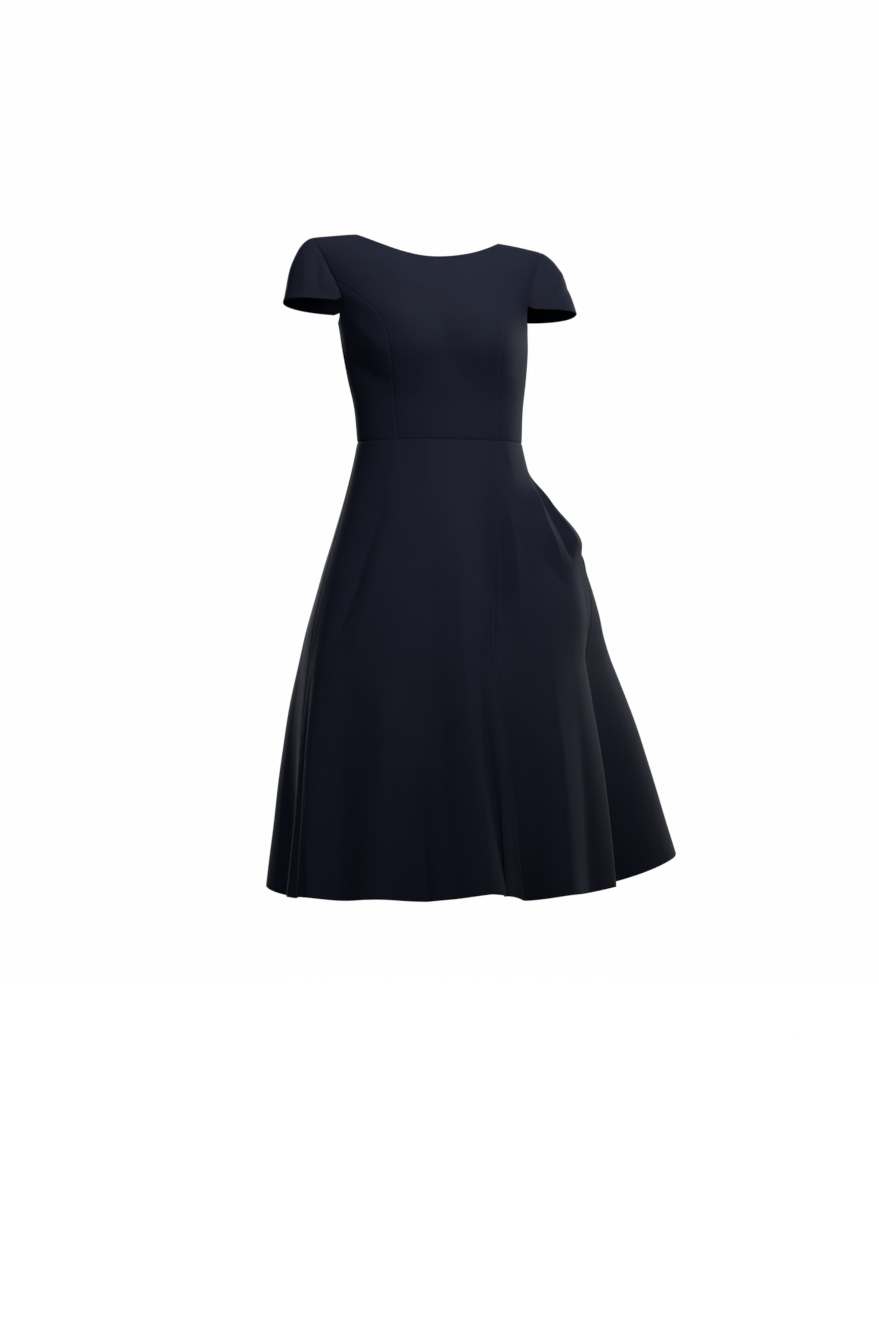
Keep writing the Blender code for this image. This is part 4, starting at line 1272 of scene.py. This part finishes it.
        columns = np.unique(np.concatenate((near_edges(self.back_columns), (self.tape_column,))))
        return self.panel(columns, limits, behind_seam=side is Side.LEFT)

    def pocket(self, front: Panel, back: Panel, side: Side, cloth: bpy.types.Material) -> None:
        """Make the two layers of a pocket's bag, behind the skirt at the side seam.

        Args:
            front: the creased front of the skirt.
            back: the creased back on that side.
            side: which pocket.
            cloth: material of the bags.
        """
        columns = near_edges(self.front_columns)
        rows = self.row_shares()
        down = (rows >= self.pocket_from) & (rows <= self.pocket_to)
        share = columns if side is Side.LEFT else 1 - columns
        across = share >= self.pocket_share
        points = front.points[down][:, across]
        normals = front.normals[down][:, across]
        behind = CAD_CLOTH + SEAM
        run = (share[across] - self.pocket_share) / (1 - self.pocket_share)
        fall = (rows[down] - self.pocket_from) / (self.pocket_to - self.pocket_from)
        full = self.pouch_depth[side] * np.outer(np.sin(fall * math.pi).clip(0) ** self.pouch_round,
                                                 np.sin(run * QUARTER).clip(0) ** self.pouch_round)
        inner = points - normals * (2 * behind + full[..., None])
        seam = back.points[down][:, -1] - back.normals[down][:, -1] * 2 * behind
        last = (share[across] - self.joined_share) / (1 - self.joined_share)
        last = np.clip(last, 0, 1)[None, :, None]
        inner = inner * (1 - last) + seam[:, None] * last
        for layer, place in (("front", points - normals * behind), ("back", inner)):
            bag = Panel(place, normals.copy())
            hand_in(bag.make(f"pocket_bag_{side.word}_{layer}", CREPE_THICK, cloth),
                    f"pocket_{side.word}_{layer}", self.bag_cuts[side])

    def build(self, crepe: bpy.types.Material, pocket_cloth: bpy.types.Material) -> dict[Side, Panel]:
        """Make the skirt and its pockets.

        Args:
            crepe: material of the skirt.
            pocket_cloth: material of the bags.

        Returns:
            The two backs before their hems are turned, for the zip to follow.
        """
        front = self.front_panel()
        front.crease(self.creases, self.form.place)
        kept = {side: self.back_panel(side) for side in Side}
        for back in kept.values():
            back.crease(self.creases, self.form.place)
        whole_front = front.copy()
        front.seam(start=True, first=True, last=True)
        front.turn_under(self.hem_turn)
        hand_in(front.make("skirt_front_panel", CREPE_THICK, crepe), "skirt_front",
                self.front_cut)
        for side, back in kept.items():
            sewn = back.copy()
            sewn.seam(start=True, first=True, last=True)
            sewn.turn_under(self.hem_turn)
            hand_in(sewn.make(f"skirt_back_panel_{side.word}", CREPE_THICK, crepe),
                    f"skirt_back_{side.word}", self.back_cuts[side])
            self.pocket(whole_front, back, side, pocket_cloth)
        return kept


# ---------------------------------------------------------------------------- zip


# Sides of a ring of thread, and of the thread itself
RING_SIDES = 10
THREAD_SIDES = 5


@dataclass(frozen=True)
class RowOfRings:
    """Sizes of a row of thread rings along a path."""

    spacing: float = 0.0011
    length: float = 0.0021
    width: float = 0.0011
    thread: float = 0.00042


@dataclass
class Zip:
    """Concealed zip in the centre back: two tapes with their coils, the slider and the tab."""

    # the tape lies along every third row of the bodice's back, out to one of its columns, and then along
    # the skirt's back between two shares of its length, with the width that it has at one row
    start_share: float = 0.02
    end_share: float = 0.27
    columns: int = 8
    bodice_rows: int = 3
    bodice_column: int = 6
    skirt_width: float = 0.012
    measured_row: int = 30
    clear_of_slider: float = 0.0045
    notch_from_top: float = 0.018
    notch_fade: float = 0.012
    # the coil runs at a share of the way over the tape's first column, clear of its inner face
    coil_share: float = 0.2
    coil_clear: float = 0.0007
    tape_cut: Cut = Cut(0.010, 0.48, 0.0043)
    rings: RowOfRings = RowOfRings()

    def tape(self, bodice_back: Panel, skirt_back: Panel, skirt_rows: np.ndarray) -> Panel:
        """One tape, lying inside the backs from the neckline to below the waist.

        Args:
            bodice_back: the creased back of the bodice.
            skirt_back: the creased back of the skirt.
            skirt_rows: the skirt's rows, as shares of the way down.

        Returns:
            The tape.
        """
        run = np.linspace(0, 1, self.columns + 1)[None, :, None]
        low = (skirt_rows > self.start_share) & (skirt_rows <= self.end_share)
        across = skirt_back.travelled(1)[self.measured_row]
        skirt_column = int(np.argmin(np.abs(across - self.skirt_width)))
        down_bodice = slice(None, None, -self.bodice_rows)
        strips = []
        for panel, rows, column in ((bodice_back, down_bodice, self.bodice_column),
                                    (skirt_back, low, skirt_column)):
            inner = panel.points[rows, 0]
            normal = panel.normals[rows, 0]
            outer = panel.points[rows, column]
            outer_normal = panel.normals[rows, column]
            depth = CAD_CLOTH / 2 + SEAM + CAD_TAPE / 2
            strips.append((inner - normal * depth, outer - outer_normal * depth, normal, outer_normal))
        inner, outer, normal, outer_normal = (np.concatenate(parts) for parts in zip(*strips))
        down = np.concatenate(((0.0,), np.cumsum(np.linalg.norm(np.diff(inner, axis=0), axis=1))))
        narrow = self.clear_of_slider * (1 - ease((down - self.notch_from_top) / self.notch_fade))
        width = np.linalg.norm(outer - inner, axis=1)
        inner = inner + (outer - inner) * (narrow / width)[:, None]
        points = inner[:, None] * (1 - run) + outer[:, None] * run
        normals = unit(normal[:, None] * (1 - run) + outer_normal[:, None] * run)
        return Panel(points, normals)

    def build(self, bodice_backs: dict[Side, Panel], skirt_backs: dict[Side, Panel], skirt_rows: np.ndarray,
              woven: bpy.types.Material, coil: bpy.types.Material, metal: bpy.types.Material) -> None:
        """Make the tapes and coils and finish the slider and tab.

        Args:
            bodice_backs: creased backs of the bodice.
            skirt_backs: creased backs of the skirt.
            skirt_rows: the skirt's rows.
            woven: material of the tapes.
            coil: material of the coils.
            metal: material of the slider and tab.
        """
        for side in Side:
            tape = self.tape(bodice_backs[side], skirt_backs[side], skirt_rows)
            path = tape.points[:, 0] * (1 - self.coil_share) + tape.points[:, 1] * self.coil_share
            path = path - tape.normals[:, 0] * (TAPE_THICK + self.coil_clear)
            teeth = repeat_along(f"zip_coil_{side.word}", path, coil, self.rings)
            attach(teeth, "dress")
            piece = tape.make(f"zip_tape_cloth_{side.word}", TAPE_THICK, woven)
            hand_in(piece, f"zip_tape_{side.word}", self.tape_cut)
        for node in ("zip_slider", "zip_pull"):
            for slot in bpy.data.objects[node].material_slots:
                slot.material = metal
            LOG.info("%s: CAD part with a painted finish", node)


def repeat_along(name: str, path: np.ndarray, surface: bpy.types.Material,
                 rings: RowOfRings) -> bpy.types.Object:
    """Row of small rings of thread along a path, made by Geometry Nodes.

    Args:
        name: the piece's name.
        path: points of the path.
        surface: material of the thread.
        rings: their sizes.

    Returns:
        The piece as a plain mesh.
    """
    line = bpy.data.curves.new(f"{name}_path", "CURVE")
    line.dimensions = "3D"
    spline = line.splines.new("POLY")
    spline.points.add(len(path) - 1)
    spline.points.foreach_set("co", np.concatenate((path, np.ones((len(path), 1))), axis=1).ravel())
    guide = bpy.data.objects.new(f"{name}_guide", line)
    bpy.context.scene.collection.objects.link(guide)
    tree = ring_tree(surface)
    step = guide.modifiers.new("rings", "NODES")
    step.node_group = tree
    for item in tree.interface.items_tree:
        value = {"Spacing": rings.spacing, "Ring length": rings.length, "Ring width": rings.width,
                 "Thread": rings.thread}.get(item.name)
        if value is not None:
            step[item.identifier] = value
    shown = guide.evaluated_get(bpy.context.evaluated_depsgraph_get())
    mesh = bpy.data.meshes.new_from_object(shown)
    mesh.name = name
    made = bpy.data.objects.new(name, mesh)
    bpy.context.scene.collection.objects.link(made)
    bpy.data.objects.remove(guide, do_unlink=True)
    mesh.shade_smooth()
    return made


def ring_tree(surface: bpy.types.Material) -> bpy.types.NodeTree:
    """Geometry node tree that strings rings of thread on a curve.

    Args:
        surface: material that the tree sets.

    Returns:
        The tree, with named inputs for its sizes.
    """
    tree = bpy.data.node_groups.new("row of thread rings", "GeometryNodeTree")
    tree.interface.new_socket("Geometry", in_out="INPUT", socket_type="NodeSocketGeometry")
    for label in ("Spacing", "Ring length", "Ring width", "Thread"):
        tree.interface.new_socket(label, in_out="INPUT", socket_type="NodeSocketFloat")
    tree.interface.new_socket("Geometry", in_out="OUTPUT", socket_type="NodeSocketGeometry")
    sizes = node(tree, "NodeGroupInput")
    spread = node(tree, "GeometryNodeCurveToPoints", {"mode": "LENGTH"},
                  {"Curve": sizes.outputs["Geometry"], "Length": sizes.outputs["Spacing"]})
    ring = node(tree, "GeometryNodeCurvePrimitiveCircle", {}, {"Resolution": RING_SIDES, "Radius": 0.5})
    stretch = node(tree, "ShaderNodeCombineXYZ", {},
                   {"X": sizes.outputs["Ring length"], "Y": sizes.outputs["Ring width"], "Z": 1.0})
    oval = node(tree, "GeometryNodeTransform", {},
                {"Geometry": ring.outputs["Curve"], "Scale": stretch.outputs["Vector"]})
    profile = node(tree, "GeometryNodeCurvePrimitiveCircle", {}, {"Resolution": THREAD_SIDES, "Radius": 0.5})
    thick = node(tree, "ShaderNodeCombineXYZ", {},
                 {"X": sizes.outputs["Thread"], "Y": sizes.outputs["Thread"], "Z": 1.0})
    thread = node(tree, "GeometryNodeTransform", {},
                  {"Geometry": profile.outputs["Curve"], "Scale": thick.outputs["Vector"]})
    solid = node(tree, "GeometryNodeCurveToMesh", {},
                 {"Curve": oval.outputs["Geometry"], "Profile Curve": thread.outputs["Geometry"]})
    strung = node(tree, "GeometryNodeInstanceOnPoints", {},
                  {"Points": spread.outputs["Points"], "Instance": solid.outputs["Mesh"],
                   "Rotation": spread.outputs["Rotation"]})
    real = node(tree, "GeometryNodeRealizeInstances", {}, {"Geometry": strung.outputs["Instances"]})
    dressed = node(tree, "GeometryNodeSetMaterial", {},
                   {"Geometry": real.outputs["Geometry"], "Material": surface})
    node(tree, "NodeGroupOutput", {}, {"Geometry": dressed.outputs["Geometry"]})
    return tree


# ---------------------------------------------------------------------------- finishes


# Sockets of a Mix node that mixes colours
MIX_A = 6
MIX_B = 7
MIX_RESULT = 2


def linear(code: str) -> tuple[float, float, float, float]:
    """Linear colour of an sRGB hex value."""
    parts = [int(code[k:k + 2], 16) / 255 for k in (1, 3, 5)]
    return (*(p / 12.92 if p <= 0.04045 else ((p + 0.055) / 1.055) ** 2.4 for p in parts), 1.0)


def node(tree: bpy.types.NodeTree, kind: str, settings: dict | None = None,
         inputs: dict | None = None) -> bpy.types.Node:
    """Add a node with its settings and links.

    Args:
        tree: where it goes.
        kind: its type.
        settings: properties to set.
        inputs: for each input's name or number a value, or the output that is linked to it.

    Returns:
        The node.
    """
    made = tree.nodes.new(kind)
    for name, value in (settings or {}).items():
        setattr(made, name, value)
    set_inputs(made, inputs or {})
    return made


def set_inputs(shown: bpy.types.Node, inputs: dict) -> None:
    """Set a node's inputs.

    Args:
        shown: the node.
        inputs: for each input's name or number a value, or the output that is linked to it.
    """
    for name, value in inputs.items():
        if isinstance(value, bpy.types.NodeSocket):
            shown.id_data.links.new(value, shown.inputs[name])
        else:
            shown.inputs[name].default_value = value


def new_surface(name: str) -> tuple[bpy.types.Material, bpy.types.NodeTree, bpy.types.Node]:
    """New material.

    Args:
        name: what it is and how its surface was made.

    Returns:
        The material, its tree and its shader.
    """
    made = bpy.data.materials.new(name)
    made.use_nodes = True
    return made, made.node_tree, made.node_tree.nodes["Principled BSDF"]


@dataclass(frozen=True)
class WovenFinish:
    """Woven cloth: two close tones, a pebbled or plain surface, and the nap's sheen."""

    name: str
    dark: str
    light: str
    roughness: float
    sheen: float
    sheen_roughness: float
    sheen_tint: str
    grain_mm: float
    grain_height: float
    gloss: float
    drifts_a_metre: float = 34.0
    slubs_a_metre: tuple[float, float, float] = (900.0, 60.0, 1.0)
    slub_share: float = 0.4
    tones: tuple[float, float] = (0.45, 0.95)
    roughness_range: float = 0.04
    grain_depth: float = 0.0006

    def build(self) -> bpy.types.Material:
        """Make the material, which follows the piece's own grain."""
        made, tree, shader = new_surface(self.name)
        grain = node(tree, "ShaderNodeUVMap", {"uv_map": "grain"}).outputs["UV"]
        # two threads twist opposite ways, so the tone drifts a little from place to place
        drift = node(tree, "ShaderNodeTexNoise", {},
                     {"Vector": grain, "Scale": self.drifts_a_metre, "Detail": 3.0})
        slub = node(tree, "ShaderNodeMapping", {}, {"Vector": grain, "Scale": self.slubs_a_metre})
        threads = node(tree, "ShaderNodeTexNoise", {},
                       {"Vector": slub.outputs["Vector"], "Scale": 1.0, "Detail": 2.0})
        tone = node(tree, "ShaderNodeMath", {"operation": "MULTIPLY_ADD"},
                    {0: threads.outputs["Fac"], 1: self.slub_share, 2: drift.outputs["Fac"]})
        ramp = node(tree, "ShaderNodeMapRange", {},
                    {"Value": tone.outputs["Value"], "From Min": self.tones[0], "From Max": self.tones[1]})
        colour = node(tree, "ShaderNodeMix", {"data_type": "RGBA"},
                      {"Factor": ramp.outputs["Result"], MIX_A: linear(self.dark),
                       MIX_B: linear(self.light)})
        pebble = node(tree, "ShaderNodeTexNoise", {},
                      {"Vector": grain, "Scale": 1000 / self.grain_mm, "Detail": 2.0, "Roughness": 0.6})
        rough = node(tree, "ShaderNodeMapRange", {},
                     {"Value": pebble.outputs["Fac"], "To Min": self.roughness - self.roughness_range,
                      "To Max": self.roughness + self.roughness_range})
        relief = node(tree, "ShaderNodeBump", {},
                      {"Height": pebble.outputs["Fac"], "Strength": self.grain_height,
                       "Distance": self.grain_depth})
        set_inputs(shader, {
            "Base Color": colour.outputs[MIX_RESULT], "Roughness": rough.outputs["Result"],
            "Normal": relief.outputs["Normal"], "Sheen Weight": self.sheen,
            "Sheen Roughness": self.sheen_roughness, "Sheen Tint": linear(self.sheen_tint),
            "Specular IOR Level": self.gloss})
        return made


@dataclass(frozen=True)
class PaintedMetalFinish:
    """Die-cast zinc sprayed with satin paint, rubbed a little brighter where fingers hold it."""

    name: str
    paint: str
    worn: str
    roughness: float
    roughness_range: float = 0.06
    specks_a_metre: float = 900.0
    wear: tuple[float, float] = (0.45, 0.75)
    paint_grain: float = 0.15
    paint_depth: float = 0.0002

    def build(self) -> bpy.types.Material:
        """Make the material."""
        made, tree, shader = new_surface(self.name)
        place = node(tree, "ShaderNodeTexCoord")
        speck = node(tree, "ShaderNodeTexNoise", {},
                     {"Vector": place.outputs["Object"], "Scale": self.specks_a_metre, "Detail": 3.0})
        share = node(tree, "ShaderNodeMapRange", {},
                     {"Value": speck.outputs["Fac"], "From Min": self.wear[0], "From Max": self.wear[1]})
        colour = node(tree, "ShaderNodeMix", {"data_type": "RGBA"},
                      {"Factor": share.outputs["Result"], MIX_A: linear(self.paint),
                       MIX_B: linear(self.worn)})
        rough = node(tree, "ShaderNodeMapRange", {},
                     {"Value": speck.outputs["Fac"], "To Min": self.roughness - self.roughness_range,
                      "To Max": self.roughness + self.roughness_range})
        relief = node(tree, "ShaderNodeBump", {},
                      {"Height": speck.outputs["Fac"], "Strength": self.paint_grain,
                       "Distance": self.paint_depth})
        set_inputs(shader, {
            "Base Color": colour.outputs[MIX_RESULT], "Roughness": rough.outputs["Result"],
            "Normal": relief.outputs["Normal"], "Metallic": 1.0})
        return made


# Double crepe of polyester, rayon and a little elastane, piece-dyed: matte and dense, with a fine
# pebble from its twisted threads and a cool bloom where the light grazes it. The pebble is about
# 0.4 mm across and is drawn at 1.3 mm, because finer would not show.
CREPE = WovenFinish("navy double crepe, woven and piece-dyed", "#12162a", "#151a2e", 0.80, 0.08, 0.40,
                    "#8fa0c4", 1.3, 0.10, 0.22)
# The bags are cut from the same crepe, and only a sliver of them is ever lit
POCKET = WovenFinish("navy crepe pocket bag, woven", "#11141f", "#171b2a", 0.86, 0.15, 0.5,
                     "#8fa0c4", 1.3, 0.08, 0.2)
# Woven polyester tape: flatter, closer and a little shinier than the crepe
TAPE = WovenFinish("navy polyester zip tape, woven", "#10131f", "#191d2e", 0.62, 0.1, 0.4,
                   "#8c98b4", 0.9, 0.15, 0.35)
# Extruded nylon coil, dyed with its tape: a soft plastic shine
COIL = WovenFinish("navy nylon zip coil, extruded", "#0f121d", "#171b29", 0.42, 0.0, 0.5,
                   "#8c98b4", 0.9, 0.05, 0.5)
METAL = PaintedMetalFinish("navy painted zinc, die cast", "#232838", "#3a4152", 0.38)


# ---------------------------------------------------------------------------- studio


WHITE = (1.0, 1.0, 1.0, 1.0)


@dataclass(frozen=True)
class Softbox:
    """Soft light: where it is, where it points, its size, power, spread in degrees and colour."""

    name: str
    place: tuple[float, float, float]
    target: tuple[float, float, float]
    size: tuple[float, float]
    power: float
    spread: float = 180.0
    colour: str = "#ffffff"

    def build(self) -> None:
        """Add the light."""
        light = bpy.data.lights.new(self.name, "AREA")
        light.shape = "RECTANGLE"
        light.size, light.size_y = self.size
        light.energy = self.power
        light.spread = math.radians(self.spread)
        light.color = linear(self.colour)[:3]
        made = bpy.data.objects.new(self.name, light)
        made.location = self.place
        made.rotation_euler = (Vector(self.target) - Vector(self.place)).to_track_quat("-Z", "Y").to_euler()
        bpy.context.scene.collection.objects.link(made)


@dataclass(frozen=True)
class Studio:
    """White studio: floor, soft lights, and a camera a little to the wearer's right at skirt height."""

    floor_z: float = -1.57
    floor_radius: float = 5.0
    floor_sides: int = 96
    floor_glow: float = 0.70
    glow_colour: tuple[float, float, float, float] = (1.0, 1.0, 0.985, 1.0)
    fade: tuple[float, float] = (0.5, 2.4)
    ambient: float = 0.033
    backdrop: float = 0.99
    azimuth: float = -10.0
    distance: float = 5.0
    target: tuple[float, float, float] = (0.0, 0.0, -0.64)
    frame_height: float = 2.0
    sensor: float = 36.0
    lights: tuple[Softbox, ...] = (
        Softbox("front", (1.2, -2.6, 0.7), (0.0, 0.0, 0.05), (0.9, 0.9), 3.3, 42),
        Softbox("side", (3.0, -0.6, 0.2), (0.0, 0.0, -0.5), (1.2, 1.6), 5),
        Softbox("side_behind", (2.6, 1.6, 0.4), (0.0, 0.0, -0.5), (1.2, 1.6), 38),
        Softbox("fill", (-3.0, -2.0, -0.2), (0.0, 0.0, -0.7), (1.2, 1.2), 13),
        Softbox("fill_front", (-1.8, -3.2, 0.3), (0.0, 0.0, -0.5), (1.2, 1.2), 5),
        Softbox("top", (0.1, -0.5, 1.2), (0.0, 0.0, -0.2), (1.2, 1.2), 4.6, 100),
        Softbox("behind", (-0.6, 3.6, 0.9), (0.0, 0.0, -0.5), (1.6, 1.6), 80),
    )

    def floor(self) -> None:
        """Pale floor disc that fades into the white surroundings."""
        mesh = bpy.data.meshes.new("floor")
        turns = [2 * math.pi * k / self.floor_sides for k in range(self.floor_sides)]
        ring = [(self.floor_radius * math.cos(turn), self.floor_radius * math.sin(turn), self.floor_z)
                for turn in turns]
        mesh.from_pydata(ring, [], [tuple(range(self.floor_sides))])
        made = bpy.data.objects.new("floor", mesh)
        bpy.context.scene.collection.objects.link(made)
        surface, tree, shader = new_surface("white vinyl studio floor, rolled out")
        place = node(tree, "ShaderNodeTexCoord")
        apart = node(tree, "ShaderNodeVectorMath", {"operation": "MULTIPLY"},
                     {0: place.outputs["Object"], 1: (1.0, 1.0, 0.0)})
        far = node(tree, "ShaderNodeVectorMath", {"operation": "LENGTH"}, {0: apart.outputs["Vector"]})
        fade = node(tree, "ShaderNodeMapRange", {"interpolation_type": "SMOOTHSTEP"},
                    {"Value": far.outputs["Value"], "From Min": self.fade[0], "From Max": self.fade[1]})
        set_inputs(shader, {
            "Base Color": linear("#f4f3f2"), "Roughness": 0.5, "Specular IOR Level": 0.2,
            "Emission Color": self.glow_colour, "Emission Strength": self.floor_glow})
        white = node(tree, "ShaderNodeEmission", {}, {"Color": WHITE, "Strength": 1.0})
        both = node(tree, "ShaderNodeMixShader", {},
                    {0: fade.outputs["Result"], 1: shader.outputs["BSDF"], 2: white.outputs["Emission"]})
        tree.links.new(both.outputs["Shader"], tree.nodes["Material Output"].inputs["Surface"])
        mesh.materials.append(surface)
        # the floor is only a backdrop, so its white doesn't light the cloth from below
        made.visible_diffuse = False
        made.visible_glossy = False

    def surroundings(self) -> None:
        """White surroundings that light the cloth only faintly."""
        world = bpy.data.worlds.new("white studio")
        world.use_nodes = True
        bpy.context.scene.world = world
        tree = world.node_tree
        tree.nodes.clear()
        ray = node(tree, "ShaderNodeLightPath")
        dim = node(tree, "ShaderNodeBackground", {}, {"Color": WHITE, "Strength": self.ambient})
        seen = node(tree, "ShaderNodeBackground", {}, {"Color": WHITE, "Strength": self.backdrop})
        both = node(tree, "ShaderNodeMixShader", {},
                    {0: ray.outputs["Is Camera Ray"], 1: dim.outputs["Background"],
                     2: seen.outputs["Background"]})
        node(tree, "ShaderNodeOutputWorld", {}, {"Surface": both.outputs["Shader"]})

    def camera(self) -> None:
        """Camera at the height of the skirt, looking level."""
        data = bpy.data.cameras.new("camera")
        data.sensor_fit = "VERTICAL"
        data.sensor_height = self.sensor
        data.lens = self.sensor * self.distance / self.frame_height
        made = bpy.data.objects.new("camera", data)
        turn = math.radians(self.azimuth)
        made.location = (self.target[0] + self.distance * math.sin(turn),
                         self.target[1] - self.distance * math.cos(turn), self.target[2])
        made.rotation_euler = (QUARTER, 0.0, turn)
        bpy.context.scene.collection.objects.link(made)
        bpy.context.scene.camera = made

    def build(self) -> None:
        """Set up the studio."""
        bpy.context.scene.view_settings.view_transform = "Standard"
        self.camera()
        self.floor()
        self.surroundings()
        for light in self.lights:
            light.build()


# ---------------------------------------------------------------------------- the whole dress


def main() -> None:
    """Load the frame, build the studio and every piece, and keep the sizes."""
    logging.basicConfig(level=logging.INFO, format="%(name)s: %(message)s")
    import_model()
    Studio().build()
    crepe = CREPE.build()
    bodice_backs = Bodice().build(crepe)
    Sleeves().build(crepe)
    skirt = Skirt()
    skirt_backs = skirt.build(crepe, POCKET.build())
    Zip().build(bodice_backs, skirt_backs, skirt.row_shares(), TAPE.build(), COIL.build(), METAL.build())


if __name__ == "__main__":
    main()
